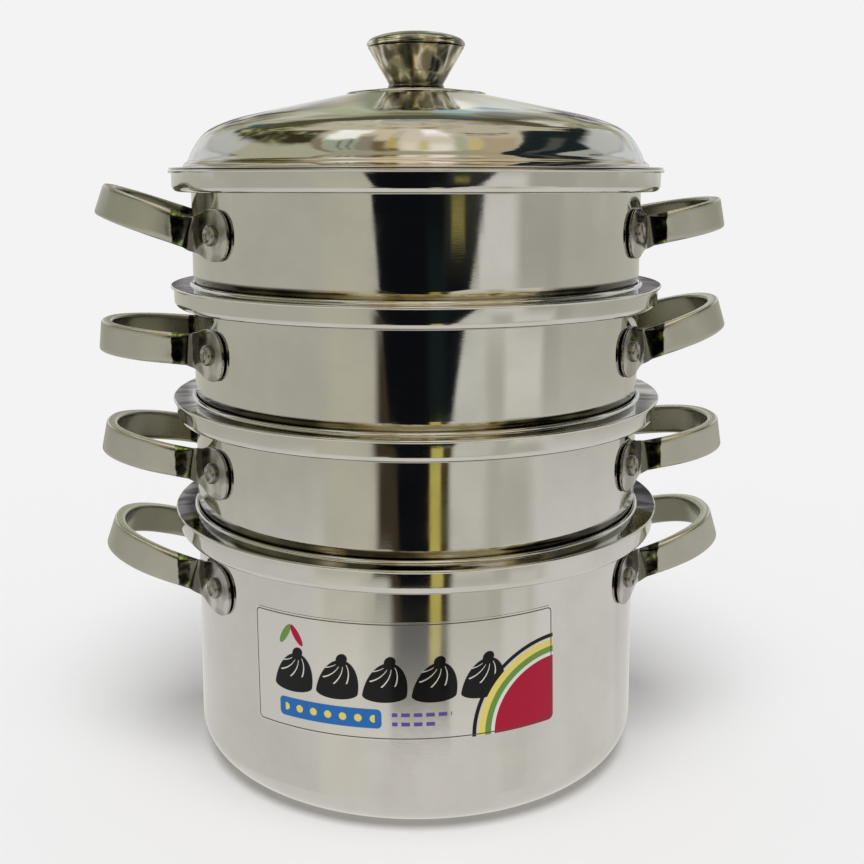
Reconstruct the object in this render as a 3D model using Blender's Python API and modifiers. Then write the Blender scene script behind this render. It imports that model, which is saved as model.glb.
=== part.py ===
"""A 22 cm momo steamer: a base pot, three steaming tiers that stack on it, and a domed lid with a knob.

Metres, +Z up. The origin is the middle of the base pot's underside. The handles lie along X, and the
front of the pot, with its label, faces -Y. Every vessel is turned from one profile and carries a folded,
boxed rim. The rounded bottom of each tier sits on the crown at the inner edge of the rim below it.
"""

from dataclasses import dataclass
import math

import bmesh
import bpy
from mathutils import Matrix, Vector

MM = 0.001
CLEARANCE = 0.3 * MM
SEGMENTS = 32
PARTS = "momo_steamer"
CUTTERS = "cutters"

# Sheet and walls
SHEET = 0.7 * MM
BODY_RADIUS = 111.0 * MM
BASE_HEIGHT = 123.0 * MM
BASE_CORNER_RADIUS = 16.0 * MM
TIER_PITCH = 55.2 * MM
TIER_CORNER_RADIUS = 14.0 * MM
TIER_COUNT = 3
CORNER_STEPS = 4
CROWN_STEPS = 3

# Folded rims. The base pot's fold is a little taller and rounder than the tiers'
RIM_WIDTH = 10.9 * MM
RIM_EDGE = 1.5 * MM
RIM_EDGE_STEPS = 2
BASE_RIM_HEIGHT = 11.8 * MM
BASE_SKIRT_CORNER = 3.0 * MM
TIER_RIM_HEIGHT = 10.4 * MM
TIER_SKIRT_CORNER = 1.3 * MM
SKIRT_INSET = 1.6 * MM
SKIRT_TAPER = 1.4 * MM
SKIRT_RETURN_GAP = 1.0 * MM
CROWN_RADIUS = 1.2 * MM

# Steam holes in each tier's floor
HOLE_RADIUS = 3.2 * MM
HOLE_PITCH = 19.0 * MM
HOLE_RINGS = 4
HOLE_SIDES = 6

# Handles
HANDLE_DROP = 29.5 * MM
HANDLE_REACH = 47.5 * MM
HANDLE_HALF_SPAN = 36.0 * MM
STRAP_HEIGHT = 15.0 * MM
STRAP_THICKNESS = 5.4 * MM
STRAP_ROOT_BEND = 9.0 * MM
# 1 makes the loop half an ellipse, and less makes it squarer
LOOP_ROUNDING_SHARE = 0.77
EAR_HEIGHT = 23.6 * MM
EAR_THICKNESS = 2.0 * MM
EAR_TIP = 15.0 * MM
RIVET_ANGLE = math.radians(28.5)
BEND_STEPS = 4
LOOP_STEPS = 7
LOOP_START_ANGLE = math.radians(14.0)
# The ear's outline as (share of the tip's reach, share of its half height), and its height where it narrows
EAR_OUTLINE_SHARES = ((1.0, 0.22), (0.84, 0.64), (0.45, 0.95), (-0.3, 0.94))
EAR_NECK_SHARE = 0.74
# Half of the strap's flattened oval as (share of its half thickness, share of its half height)
STRAP_OVAL_SHARES = ((1.0, 0.55), (0.5, 1.0), (-0.5, 1.0), (-1.0, 0.55))
# How far each loop is bent up, left and right
HANDLE_TILT_ANGLES = {
    "base": (math.radians(18.5), math.radians(16.5)),
    "tier_1": (math.radians(11.0), math.radians(8.5)),
    "tier_2": (math.radians(5.0), math.radians(17.0)),
    "tier_3": (math.radians(19.0), math.radians(10.5)),
}
# How far each tier is turned from the base pot, as it was put on
TIER_TURNS = {2: math.radians(-0.9), 3: math.radians(2.3)}

# Rivets
RIVET_HEAD_RADIUS = 5.0 * MM
RIVET_HEAD_HEIGHT = 2.4 * MM
RIVET_SHANK_RADIUS = 2.2 * MM
RIVET_TAIL_RADIUS = 4.2 * MM
RIVET_TAIL_HEIGHT = 1.4 * MM
RIVET_SEGMENTS = 8
# Where a rivet's or a screw's head breaks, as shares of its radius and its height
HEAD_BREAK_SHARES = (0.75, 0.7)

# Lid
LID_FLANGE_INSET = 0.5 * MM
LID_FLANGE_WIDTH = 6.6 * MM
LID_SIDE_WIDTH = 13.3 * MM
LID_SIDE_LEAN = 4.5 * MM
LID_SHOULDER_HEIGHT = 20.0 * MM
LID_SHOULDER_DROP = 5.6 * MM
LID_SHOULDER_SWELL = 0.9 * MM
LID_FOOT_WIDTH = 3.0 * MM
LID_FOOT_HEIGHT = 4.6 * MM
LID_BEAD_WIDTH = 0.8 * MM
LID_BEAD_HEIGHT = 2.6 * MM
LID_DOME_HEIGHT = 37.0 * MM
LID_DOME_SWELL = 1.6 * MM
DOME_STEPS = 3
LID_STEP_RADIUS = 34.5 * MM
LID_STEP_HEIGHT = 0.8 * MM
LID_PLATEAU_RADIUS = 22.5 * MM
LID_PLATEAU_RISE = 1.0 * MM

# Knob and its fastening
KNOB_FOOT_RADIUS = 13.4 * MM
KNOB_RIM_RADIUS = 24.3 * MM
KNOB_CUP_HEIGHT = 19.8 * MM
KNOB_FOOT_HEIGHT = 2.0 * MM
KNOB_FOOT_FLARE = 0.6 * MM
KNOB_CAP_RISE = 6.6 * MM
KNOB_CAP_OVERHANG = 0.4 * MM
KNOB_CAP_LIP = 1.6 * MM
KNOB_CAP_HEM = 0.5 * MM
KNOB_SHEET = 0.9 * MM
KNOB_SEGMENTS = 24
SCREW_RADIUS = 2.4 * MM
SCREW_HEAD_RADIUS = 4.6 * MM
SCREW_HEAD_HEIGHT = 2.6 * MM
SCREW_PROJECTION = 1.5 * MM
WASHER_RADIUS = 7.5 * MM
WASHER_THICKNESS = 1.0 * MM
NUT_RADIUS = 4.7 * MM
NUT_HEIGHT = 4.0 * MM
SCREW_SEGMENTS = 16

# Label on the base pot
LABEL_WIDTH = 132.5 * MM
LABEL_HEIGHT = 53.2 * MM
LABEL_THICKNESS = 0.25 * MM
LABEL_CENTRE_HEIGHT = 69.5 * MM
LABEL_ANGLE = math.radians(-7.8)
LABEL_TILT_ANGLE = math.radians(1.3)

# Sizes that follow from the ones above
WALL_INSIDE = BODY_RADIUS - SHEET
EAR_SEAT = BODY_RADIUS + CLEARANCE
RIM_RADIUS = BODY_RADIUS + RIM_WIDTH
LID_LEVEL = BASE_HEIGHT + TIER_COUNT * TIER_PITCH
LID_FLANGE_RADIUS = RIM_RADIUS - LID_FLANGE_INSET
LID_MOUTH_RADIUS = LID_FLANGE_RADIUS - LID_FLANGE_WIDTH
# A turned wall is a polygon, so the middle of each facet lies a little inside the true radius
FACET_DROP = BODY_RADIUS * (1.0 - math.cos(math.pi / SEGMENTS))
HOLE_CLEAR_RADIUS = RIVET_SHANK_RADIUS + CLEARANCE
SCREW_HOLE_RADIUS = SCREW_RADIUS + CLEARANCE
CUTTER_REACH = 12.0 * MM


@dataclass
class Vessel:
    """The sizes of one turned vessel of the stack, the height it stands at and its turn about Z."""

    name: str
    height: float
    corner_radius: float
    rim_height: float
    skirt_corner: float
    level: float
    turn: float


def clear_scene():
    for obj in list(bpy.data.objects):
        bpy.data.objects.remove(obj)
    for name in (PARTS, CUTTERS):
        collection = bpy.data.collections.new(name)
        bpy.context.scene.collection.children.link(collection)


def make_material(name, colour, roughness, metallic):
    material = bpy.data.materials.new(name)
    material.use_nodes = True
    shader = material.node_tree.nodes["Principled BSDF"]
    shader.inputs["Base Color"].default_value = (*colour, 1.0)
    shader.inputs["Roughness"].default_value = roughness
    shader.inputs["Metallic"].default_value = metallic
    return material


def steel(name, tone=0.62, roughness=0.12):
    """Polished stainless steel, a little warm as in a lit room."""
    return make_material(name, (tone, tone * 0.98, tone * 0.93), roughness, 1.0)


def add_object(name, mesh, material=None, collection=PARTS):
    obj = bpy.data.objects.new(name, mesh)
    bpy.data.collections[collection].objects.link(obj)
    if material:
        mesh.materials.append(material)
    return obj


def add_cutter(name, bm, parent=None):
    """A hidden cutting shape from the bmesh, which is freed."""
    mesh = bpy.data.meshes.new(name)
    bm.to_mesh(mesh)
    bm.free()
    cutter = add_object(name, mesh, collection=CUTTERS)
    cutter.hide_render = True
    cutter.display_type = "WIRE"
    cutter.parent = parent
    return cutter


def cut(obj, cutter):
    modifier = obj.modifiers.new("cut " + cutter.name, "BOOLEAN")
    modifier.operation = "DIFFERENCE"
    modifier.object = cutter


def arc(centre, radius, start, end, steps):
    """Points (r, z) on an arc, both ends included, with the angles in degrees."""
    points = []
    for step in range(steps + 1):
        angle = math.radians(start + (end - start) * step / steps)
        points.append((centre[0] + radius * math.cos(angle), centre[1] + radius * math.sin(angle)))
    return points


def turned(name, profile, segments, material, closed=False):
    """A solid of revolution about Z, from half sections (r, z) that run down their outer side."""
    mesh = bpy.data.meshes.new(name)
    count = len(profile)
    edges = [(index, index + 1) for index in range(count - 1)]
    if closed:
        edges.append((count - 1, 0))
    mesh.from_pydata([(r, 0.0, z) for r, z in profile], edges, [])
    obj = add_object(name, mesh, material)
    screw = obj.modifiers.new("turn", "SCREW")
    screw.steps = segments
    screw.render_steps = segments
    screw.use_merge_vertices = True
    screw.merge_threshold = 0.00001
    screw.use_smooth_shade = False
    return obj


def rim_profile(height, rim_height, skirt_corner):
    """The folded rim of a vessel of this height, from the inner wall over the crown to the outer wall."""
    underside = height - rim_height
    return_edge = BODY_RADIUS + SKIRT_RETURN_GAP
    skirt_top = RIM_RADIUS - SKIRT_INSET
    skirt_low = skirt_top - SKIRT_TAPER
    crown = arc((WALL_INSIDE + CROWN_RADIUS, height), CROWN_RADIUS, 180.0, 0.0, CROWN_STEPS)
    edge_radius = RIM_EDGE / 2.0
    edge = arc((RIM_RADIUS - edge_radius, height - edge_radius), edge_radius, 90.0, -90.0, RIM_EDGE_STEPS)
    skirt = [
        (skirt_top, height - RIM_EDGE),
        (skirt_low, underside + skirt_corner),
        (skirt_low - skirt_corner, underside),
        (return_edge, underside),
        (return_edge, underside + SHEET),
        (skirt_low - skirt_corner, underside + SHEET),
        (skirt_low - SHEET, underside + skirt_corner),
        (skirt_top - SHEET, height - SHEET),
        (BODY_RADIUS, height - SHEET),
    ]
    return crown + edge + skirt


def vessel_profile(shape):
    """Half section of a vessel, from the floor's upper face at the axis round to its underside."""
    centre = (BODY_RADIUS - shape.corner_radius, shape.corner_radius)
    inner_corner = arc(centre, shape.corner_radius - SHEET, -90.0, 0.0, CORNER_STEPS)
    outer_corner = arc(centre, shape.corner_radius, 0.0, -90.0, CORNER_STEPS)
    rim = rim_profile(shape.height, shape.rim_height, shape.skirt_corner)
    return [(0.0, SHEET)] + inner_corner + rim + outer_corner + [(0.0, 0.0)]


def seat_rise():
    """Height of a tier's corner centre over the rim plane below, when its corner rests on the crown."""
    reach = TIER_CORNER_RADIUS + CROWN_RADIUS + CLEARANCE
    across = WALL_INSIDE + CROWN_RADIUS - (BODY_RADIUS - TIER_CORNER_RADIUS)
    return math.sqrt(reach * reach - across * across)


def prism(bm, radius, length, sides, matrix):
    bmesh.ops.create_cone(
        bm, cap_ends=True, segments=sides, radius1=radius, radius2=radius, depth=length, matrix=matrix
    )


def floor_hole_places():
    """A centre hole and rings of six, twelve, eighteen and so on, as far as the rings go."""
    places = [(0.0, 0.0)]
    for ring in range(1, HOLE_RINGS):
        count = 6 * ring
        for index in range(count):
            angle = math.tau * index / count
            places.append((ring * HOLE_PITCH * math.cos(angle), ring * HOLE_PITCH * math.sin(angle)))
    return places


def cut_floor_holes(tier):
    bm = bmesh.new()
    for x, y in floor_hole_places():
        prism(bm, HOLE_RADIUS, 3.0 * SHEET, HOLE_SIDES, Matrix.Translation((x, y, SHEET / 2.0)))
    cut(tier, add_cutter(tier.name + "_hole_cutter", bm, tier))


def ear_frame(side, end):
    """The outward and the tipward direction at a rivet.

    side is +1 for the right handle and -1 for the left one, and end is -1 at the front and +1 at the back.
    """
    outward = Vector((side * math.cos(RIVET_ANGLE), end * math.sin(RIVET_ANGLE), 0.0))
    tipward = Vector((-side * math.sin(RIVET_ANGLE), end * math.cos(RIVET_ANGLE), 0.0))
    return outward, tipward


def rivet_matrix(side, end, shape):
    """Local Z points out of the wall, with its origin on the vessel's axis at the rivet's height."""
    outward, tipward = ear_frame(side, end)
    first = tipward.cross(outward)
    rotation = Matrix((first, tipward, outward)).transposed()
    place = Matrix.Translation((0.0, 0.0, shape.height - HANDLE_DROP))
    return Matrix.Rotation(shape.turn, 4, "Z") @ place @ rotation.to_4x4()


def rivet_places(shape):
    places = {}
    for side_name, side in (("left", -1), ("right", 1)):
        for end_name, end in (("front", -1), ("back", 1)):
            places[side_name + "_" + end_name] = rivet_matrix(side, end, shape)
    return places


def make_rivet(name, matrix, vessel):
    """A round head outside the ear, a shank, and a flat tail inside the wall. It lies along local Z."""
    ear_face = EAR_SEAT + EAR_THICKNESS + CLEARANCE
    tail_face = WALL_INSIDE - FACET_DROP - CLEARANCE
    break_radius, break_height = HEAD_BREAK_SHARES
    profile = [
        (0.0, ear_face + RIVET_HEAD_HEIGHT),
        (break_radius * RIVET_HEAD_RADIUS, ear_face + break_height * RIVET_HEAD_HEIGHT),
        (RIVET_HEAD_RADIUS, ear_face),
        (RIVET_SHANK_RADIUS, ear_face),
        (RIVET_SHANK_RADIUS, tail_face),
        (RIVET_TAIL_RADIUS, tail_face),
        (RIVET_TAIL_RADIUS, tail_face - RIVET_TAIL_HEIGHT),
        (0.0, tail_face - RIVET_TAIL_HEIGHT),
    ]
    rivet = turned(name, profile, RIVET_SEGMENTS, steel(name + "_steel", 0.55, 0.18))
    rivet.parent = vessel
    rivet.matrix_local = matrix


def filleted(before, corner, after, radius, steps):
    """The points of a plane bend that rounds this corner."""
    back = (before - corner).normalized()
    ahead = (after - corner).normalized()
    half = back.angle(ahead) / 2.0
    centre = corner + (back + ahead).normalized() * (radius / math.sin(half))
    start = corner + back * (radius / math.tan(half)) - centre
    sweep = math.pi - 2.0 * half
    turn = 1.0 if back.cross(ahead) < 0.0 else -1.0
    bend = []
    for step in range(steps + 1):
        angle = turn * sweep * step / steps
        spun = Vector((
            start.x * math.cos(angle) - start.y * math.sin(angle),
            start.x * math.sin(angle) + start.y * math.cos(angle),
        ))
        bend.append(centre + spun)
    return bend


def handle_sections():
    """Stations along half a right-hand handle, from the ear's tip at the back to the strap's middle.

    Each station is (place, height direction, half height, half thickness).
    """
    outward, tipward = ear_frame(1, 1)
    ear_middle = EAR_SEAT + EAR_THICKNESS / 2.0
    rivet = Vector((outward.x, outward.y)) * ear_middle
    along = Vector((tipward.x, tipward.y))
    run_in = (HANDLE_HALF_SPAN - rivet.y) / along.y
    root = rivet + along * run_in
    tip = rivet + along * EAR_TIP
    outside = Vector((root.x + HANDLE_REACH, root.y))
    bend = filleted(tip, root, outside, STRAP_ROOT_BEND, BEND_STEPS)

    ear_half = EAR_HEIGHT / 2.0
    strap_half = STRAP_HEIGHT / 2.0
    flat_half = EAR_THICKNESS / 2.0
    full_half = STRAP_THICKNESS / 2.0
    stations = []
    for share, height in EAR_OUTLINE_SHARES:
        place = rivet + along * EAR_TIP * share
        stations.append((place, 0.0, ear_half * height, flat_half))
    neck_half = ear_half * EAR_NECK_SHARE
    for step, place in enumerate(bend):
        blend = step / BEND_STEPS
        thickness = flat_half + (full_half - flat_half) * blend
        height = neck_half + (strap_half - neck_half) * blend
        stations.append((place, blend, height, thickness))
    for step in range(LOOP_STEPS + 1):
        angle = LOOP_START_ANGLE + (math.pi / 2.0 - LOOP_START_ANGLE) * step / LOOP_STEPS
        reach = HANDLE_REACH * math.sin(angle) ** LOOP_ROUNDING_SHARE
        span = HANDLE_HALF_SPAN * max(0.0, math.cos(angle)) ** LOOP_ROUNDING_SHARE
        stations.append((Vector((root.x + reach, span)), 1.0, strap_half, full_half))
    return root, stations


def tilted(place, root, blend, full_tilt):
    """A station's place and height direction once the strap is tilted up about the line of its roots."""
    tilt = full_tilt * blend
    past_root = max(0.0, place.x - root.x)
    spot = Vector((place.x, place.y, 0.0))
    if past_root > 0.0:
        spot.x = root.x + past_root * math.cos(full_tilt)
        spot.z = past_root * math.sin(full_tilt)
    return spot, Vector((-math.sin(tilt), 0.0, math.cos(tilt)))


def handle_mesh(full_tilt):
    """Both halves of a handle as one lofted tube: flat D-shaped ears that swell into an oval strap."""
    root, half = handle_sections()
    placed = [(*tilted(place, root, blend, full_tilt), tall, thick) for place, blend, tall, thick in half]
    mirror = Vector((1.0, -1.0, 1.0))
    back = [(spot * mirror, up, tall, thick) for spot, up, tall, thick in reversed(placed[:-1])]
    stations = placed + back
    section = STRAP_OVAL_SHARES + tuple((-across, -high) for across, high in STRAP_OVAL_SHARES)
    bm = bmesh.new()
    rings = []
    for index, (spot, up, tall, thick) in enumerate(stations):
        before = stations[max(index - 1, 0)][0]
        after = stations[min(index + 1, len(stations) - 1)][0]
        along = (after - before).normalized()
        side = along.cross(up).normalized()
        height_way = side.cross(along)
        ring = []
        for across, high in section:
            ring.append(bm.verts.new(spot + side * thick * across + height_way * tall * high))
        rings.append(ring)
    count = len(section)
    for first, second in zip(rings, rings[1:]):
        for corner in range(count):
            following = (corner + 1) % count
            bm.faces.new((first[corner], first[following], second[following], second[corner]))
    bm.faces.new(rings[0])
    bm.faces.new(rings[-1])
    bmesh.ops.recalc_face_normals(bm, faces=bm.faces)
    mesh = bpy.data.meshes.new("handle")
    bm.to_mesh(mesh)
    bm.free()
    mesh.shade_smooth()
    mesh.set_sharp_from_angle(angle=math.radians(40.0))
    return mesh


def make_handle(name, side, full_tilt, vessel, shape):
    mesh = handle_mesh(full_tilt)
    mesh.name = name
    handle = add_object(name, mesh, steel(name + "_steel", 0.6, 0.16))
    handle.parent = vessel
    half_turn = math.pi if side < 0 else 0.0
    turn = Matrix.Rotation(shape.turn + half_turn, 4, "Z")
    handle.matrix_local = Matrix.Translation((0.0, 0.0, shape.height - HANDLE_DROP)) @ turn
    return handle


def make_vessel(shape):
    """A turned vessel with both its handles and the four rivets that hold them."""
    vessel = turned(shape.name, vessel_profile(shape), SEGMENTS, steel(shape.name + "_steel"))
    vessel.location = (0.0, 0.0, shape.level)
    places = rivet_places(shape)
    bm = bmesh.new()
    out = Matrix.Translation((0.0, 0.0, BODY_RADIUS))
    for matrix in places.values():
        prism(bm, HOLE_CLEAR_RADIUS, CUTTER_REACH, RIVET_SEGMENTS, matrix @ out)
    cutter = add_cutter(shape.name + "_rivet_cutter", bm, vessel)
    cut(vessel, cutter)
    stem = shape.name.removesuffix("_pot")
    for side_name, side, tilt in zip(("left", "right"), (-1, 1), HANDLE_TILT_ANGLES[stem]):
        cut(make_handle(stem + "_handle_" + side_name, side, tilt, vessel, shape), cutter)
    for corner, matrix in places.items():
        make_rivet(stem + "_rivet_" + corner, matrix, vessel)
    return vessel


def make_base():
    shape = Vessel(
        name="base_pot",
        height=BASE_HEIGHT,
        corner_radius=BASE_CORNER_RADIUS,
        rim_height=BASE_RIM_HEIGHT,
        skirt_corner=BASE_SKIRT_CORNER,
        level=0.0,
        turn=0.0,
    )
    make_vessel(shape)


def make_tier(number):
    sunk = TIER_CORNER_RADIUS - seat_rise()
    height = TIER_PITCH + sunk
    shape = Vessel(
        name="tier_" + str(number),
        height=height,
        corner_radius=TIER_CORNER_RADIUS,
        rim_height=TIER_RIM_HEIGHT,
        skirt_corner=TIER_SKIRT_CORNER,
        level=BASE_HEIGHT + (number - 1) * TIER_PITCH - sunk,
        turn=TIER_TURNS.get(number, 0.0),
    )
    cut_floor_holes(make_vessel(shape))


def make_label():
    """A film stuck on the wall: a thin ring round the pot, kept only where a block meets it."""
    outer = EAR_SEAT + LABEL_THICKNESS
    low = LABEL_CENTRE_HEIGHT - LABEL_HEIGHT
    high = LABEL_CENTRE_HEIGHT + LABEL_HEIGHT
    profile = [(EAR_SEAT, low), (EAR_SEAT, high), (outer, high), (outer, low)]
    film = make_material("front_label_film", (0.72, 0.71, 0.68), 0.25, 0.0)
    label = turned("front_label", profile, SEGMENTS, film, closed=True)
    bm = bmesh.new()
    size = Matrix.Diagonal((LABEL_WIDTH, BODY_RADIUS, LABEL_HEIGHT, 1.0))
    forward = Matrix.Translation((0.0, -BODY_RADIUS, 0.0))
    lean = Matrix.Rotation(-LABEL_TILT_ANGLE, 4, "Y")
    bmesh.ops.create_cube(bm, size=1.0, matrix=forward @ lean @ size)
    block = add_cutter("front_label_block", bm)
    block.location = (0.0, 0.0, LABEL_CENTRE_HEIGHT)
    block.rotation_euler = (0.0, 0.0, LABEL_ANGLE)
    keep = label.modifiers.new("keep the front", "BOOLEAN")
    keep.operation = "INTERSECT"
    keep.object = block


def lid_surface():
    """The lid's outer face as (r, z) over the rim plane, from the screw hole out to the flange."""
    flange_top = CLEARANCE + SHEET
    foot = (LID_MOUTH_RADIUS - LID_FOOT_WIDTH, flange_top + LID_FOOT_HEIGHT)
    side = (foot[0] - LID_SIDE_LEAN, LID_SHOULDER_HEIGHT - LID_SHOULDER_DROP)
    shoulder = (LID_MOUTH_RADIUS - LID_SIDE_WIDTH, LID_SHOULDER_HEIGHT)
    bend = [(side[axis] + shoulder[axis]) / 2.0 + LID_SHOULDER_SWELL for axis in (0, 1)]
    step_low = LID_DOME_HEIGHT + LID_STEP_HEIGHT
    plateau = step_low + LID_PLATEAU_RISE
    points = [
        (SCREW_HOLE_RADIUS, plateau + LID_STEP_HEIGHT),
        (LID_PLATEAU_RADIUS, plateau + LID_STEP_HEIGHT / 2.0),
        (LID_PLATEAU_RADIUS + LID_STEP_HEIGHT, plateau - LID_STEP_HEIGHT / 3.0),
        (LID_STEP_RADIUS - LID_STEP_HEIGHT, step_low),
        (LID_STEP_RADIUS, LID_DOME_HEIGHT),
    ]
    for step in range(1, DOME_STEPS):
        share = step / DOME_STEPS
        radius = LID_STEP_RADIUS + (shoulder[0] - LID_STEP_RADIUS) * share
        height = LID_DOME_HEIGHT + (shoulder[1] - LID_DOME_HEIGHT) * share
        points.append((radius, height + LID_DOME_SWELL * math.sin(math.pi * share)))
    points += [
        shoulder,
        tuple(bend),
        side,
        foot,
        (LID_MOUTH_RADIUS - LID_BEAD_WIDTH, flange_top + LID_BEAD_HEIGHT),
        (LID_MOUTH_RADIUS, flange_top),
        (LID_FLANGE_RADIUS, flange_top),
    ]
    return points


def offset_inward(points, distance):
    """The same line moved square to itself, to its lower and inner side, by the sheet's thickness."""
    moved = []
    for index, (r, z) in enumerate(points):
        before = Vector(points[max(index - 1, 0)])
        after = Vector(points[min(index + 1, len(points) - 1)])
        along = (after - before).normalized()
        moved.append((r + along.y * distance, z - along.x * distance))
    return moved


def make_lid():
    outer = lid_surface()
    inner = offset_inward(outer, SHEET)
    inner[0] = (outer[0][0], outer[0][1] - SHEET)
    inner[-1] = (outer[-1][0], outer[-1][1] - SHEET)
    lid = turned("lid", outer + inner[::-1], SEGMENTS, steel("lid_steel"), closed=True)
    lid.location = (0.0, 0.0, LID_LEVEL)
    make_knob(lid, outer[0][1])


def knob_cup_profile():
    """The flared cup with a hole for the screw in its foot."""
    rim = KNOB_RIM_RADIUS - KNOB_CAP_OVERHANG
    return [
        (SCREW_HOLE_RADIUS, KNOB_SHEET),
        (KNOB_FOOT_RADIUS - KNOB_SHEET, KNOB_SHEET),
        (rim - KNOB_SHEET, KNOB_CUP_HEIGHT),
        (rim, KNOB_CUP_HEIGHT),
        (KNOB_FOOT_RADIUS, KNOB_FOOT_HEIGHT),
        (KNOB_FOOT_RADIUS + KNOB_FOOT_FLARE, KNOB_FOOT_HEIGHT / 2.0),
        (KNOB_FOOT_RADIUS - KNOB_FOOT_FLARE, 0.0),
        (SCREW_HOLE_RADIUS, 0.0),
    ]


def knob_cap_profile():
    """A shallow dome over the cup, with a hem that turns down to just over the cup's mouth."""
    span = KNOB_RIM_RADIUS
    sphere = (span * span + KNOB_CAP_RISE * KNOB_CAP_RISE) / (2.0 * KNOB_CAP_RISE)
    opening = math.degrees(math.asin(span / sphere))
    outer = arc((0.0, KNOB_CAP_RISE - sphere), sphere, 90.0, 90.0 - opening, CORNER_STEPS)
    outer[0] = (0.0, KNOB_CAP_RISE)
    inner = [(r * (span - KNOB_CAP_LIP) / span, z - KNOB_SHEET) for r, z in outer]
    edge = [(span, -KNOB_SHEET / 2.0), (span - KNOB_CAP_HEM, -KNOB_SHEET)]
    return outer + edge + inner[::-1]


def make_knob(lid, lid_top):
    """Cup, cap, and the screw, washer and nut that hold the cup to the middle of the lid."""
    foot = lid_top + CLEARANCE
    cup = turned("lid_knob_cup", knob_cup_profile(), KNOB_SEGMENTS, steel("knob_cup_steel", 0.5), closed=True)
    cup.parent = lid
    cup.location = (0.0, 0.0, foot)

    cap = turned("lid_knob_cap", knob_cap_profile(), KNOB_SEGMENTS, steel("knob_cap_steel", 0.55))
    cap.parent = cup
    cap.location = (0.0, 0.0, KNOB_CUP_HEIGHT + KNOB_SHEET + CLEARANCE)

    washer_low = lid_top - SHEET - CLEARANCE - WASHER_THICKNESS
    washer_profile = [
        (SCREW_HOLE_RADIUS, 0.0),
        (SCREW_HOLE_RADIUS, WASHER_THICKNESS),
        (WASHER_RADIUS, WASHER_THICKNESS),
        (WASHER_RADIUS, 0.0),
    ]
    washer_steel = steel("knob_washer_steel", 0.5, 0.3)
    washer = turned("lid_knob_washer", washer_profile, KNOB_SEGMENTS, washer_steel, closed=True)
    washer.parent = lid
    washer.location = (0.0, 0.0, washer_low)

    head_face = washer_low - CLEARANCE
    nut_low = foot + KNOB_SHEET + CLEARANCE
    tip = nut_low + NUT_HEIGHT + SCREW_PROJECTION - head_face
    break_radius, break_height = HEAD_BREAK_SHARES
    screw_profile = [
        (0.0, tip),
        (SCREW_RADIUS, tip),
        (SCREW_RADIUS, 0.0),
        (SCREW_HEAD_RADIUS, 0.0),
        (break_radius * SCREW_HEAD_RADIUS, -break_height * SCREW_HEAD_HEIGHT),
        (0.0, -SCREW_HEAD_HEIGHT),
    ]
    screw = turned("lid_knob_screw", screw_profile, SCREW_SEGMENTS, steel("knob_screw_steel", 0.5, 0.3))
    screw.parent = lid
    screw.location = (0.0, 0.0, head_face)

    make_nut(lid, nut_low)


def make_nut(lid, level):
    """A plain hexagon nut with a round hole."""
    bm = bmesh.new()
    prism(bm, NUT_RADIUS, NUT_HEIGHT, 6, Matrix.Identity(4))
    mesh = bpy.data.meshes.new("lid_knob_nut")
    bm.to_mesh(mesh)
    bm.free()
    nut = add_object("lid_knob_nut", mesh, steel("knob_nut_steel", 0.5, 0.3))
    nut.parent = lid
    nut.location = (0.0, 0.0, level + NUT_HEIGHT / 2.0)
    bm = bmesh.new()
    prism(bm, SCREW_HOLE_RADIUS, 3.0 * NUT_HEIGHT, SCREW_SEGMENTS, Matrix.Identity(4))
    cut(nut, add_cutter("nut_hole_cutter", bm, nut))


def main():
    clear_scene()
    make_base()
    make_label()
    for number in range(1, TIER_COUNT + 1):
        make_tier(number)
    make_lid()


main()
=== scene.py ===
"""Looks for the momo steamer: mirror-polished steel, a printed film label, and a pale studio.

Metres, +Z up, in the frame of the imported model. Every vessel is turned again here with fine arcs, and the
handles are lofted with a finer section, each over the CAD node that it stands for.
"""

import math

import bmesh
import bpy
from mathutils import Matrix, Vector


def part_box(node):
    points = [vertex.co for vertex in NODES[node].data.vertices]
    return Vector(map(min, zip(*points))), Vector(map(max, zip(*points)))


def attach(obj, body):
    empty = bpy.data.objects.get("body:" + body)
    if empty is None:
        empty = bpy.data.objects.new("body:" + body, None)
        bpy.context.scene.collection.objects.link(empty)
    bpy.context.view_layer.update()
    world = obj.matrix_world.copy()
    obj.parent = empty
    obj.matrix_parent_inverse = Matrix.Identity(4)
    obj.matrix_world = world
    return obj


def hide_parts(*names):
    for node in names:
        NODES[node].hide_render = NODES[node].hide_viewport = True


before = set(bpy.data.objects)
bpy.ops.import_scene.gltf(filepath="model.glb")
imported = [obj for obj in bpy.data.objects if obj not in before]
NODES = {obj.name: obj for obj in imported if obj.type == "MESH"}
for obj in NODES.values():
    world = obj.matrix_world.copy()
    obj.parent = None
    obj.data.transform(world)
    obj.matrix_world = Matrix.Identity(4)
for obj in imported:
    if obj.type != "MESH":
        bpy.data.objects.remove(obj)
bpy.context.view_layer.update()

MM = 0.001

# Camera, measured from the photograph. Pixels are those of its 864 x 864 frame
FRAME_PIXELS = 864
FOCAL_PIXELS = 1146
AXIS_PIXEL = (416, 325)
SENSOR_WIDTH = 36.0
CAMERA_DISTANCE = 580.0 * MM
CAMERA_HEIGHT = 284.3 * MM
CAMERA_PITCH = math.radians(7.28)
CAMERA_AZIMUTH = math.radians(-4.3)

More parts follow.
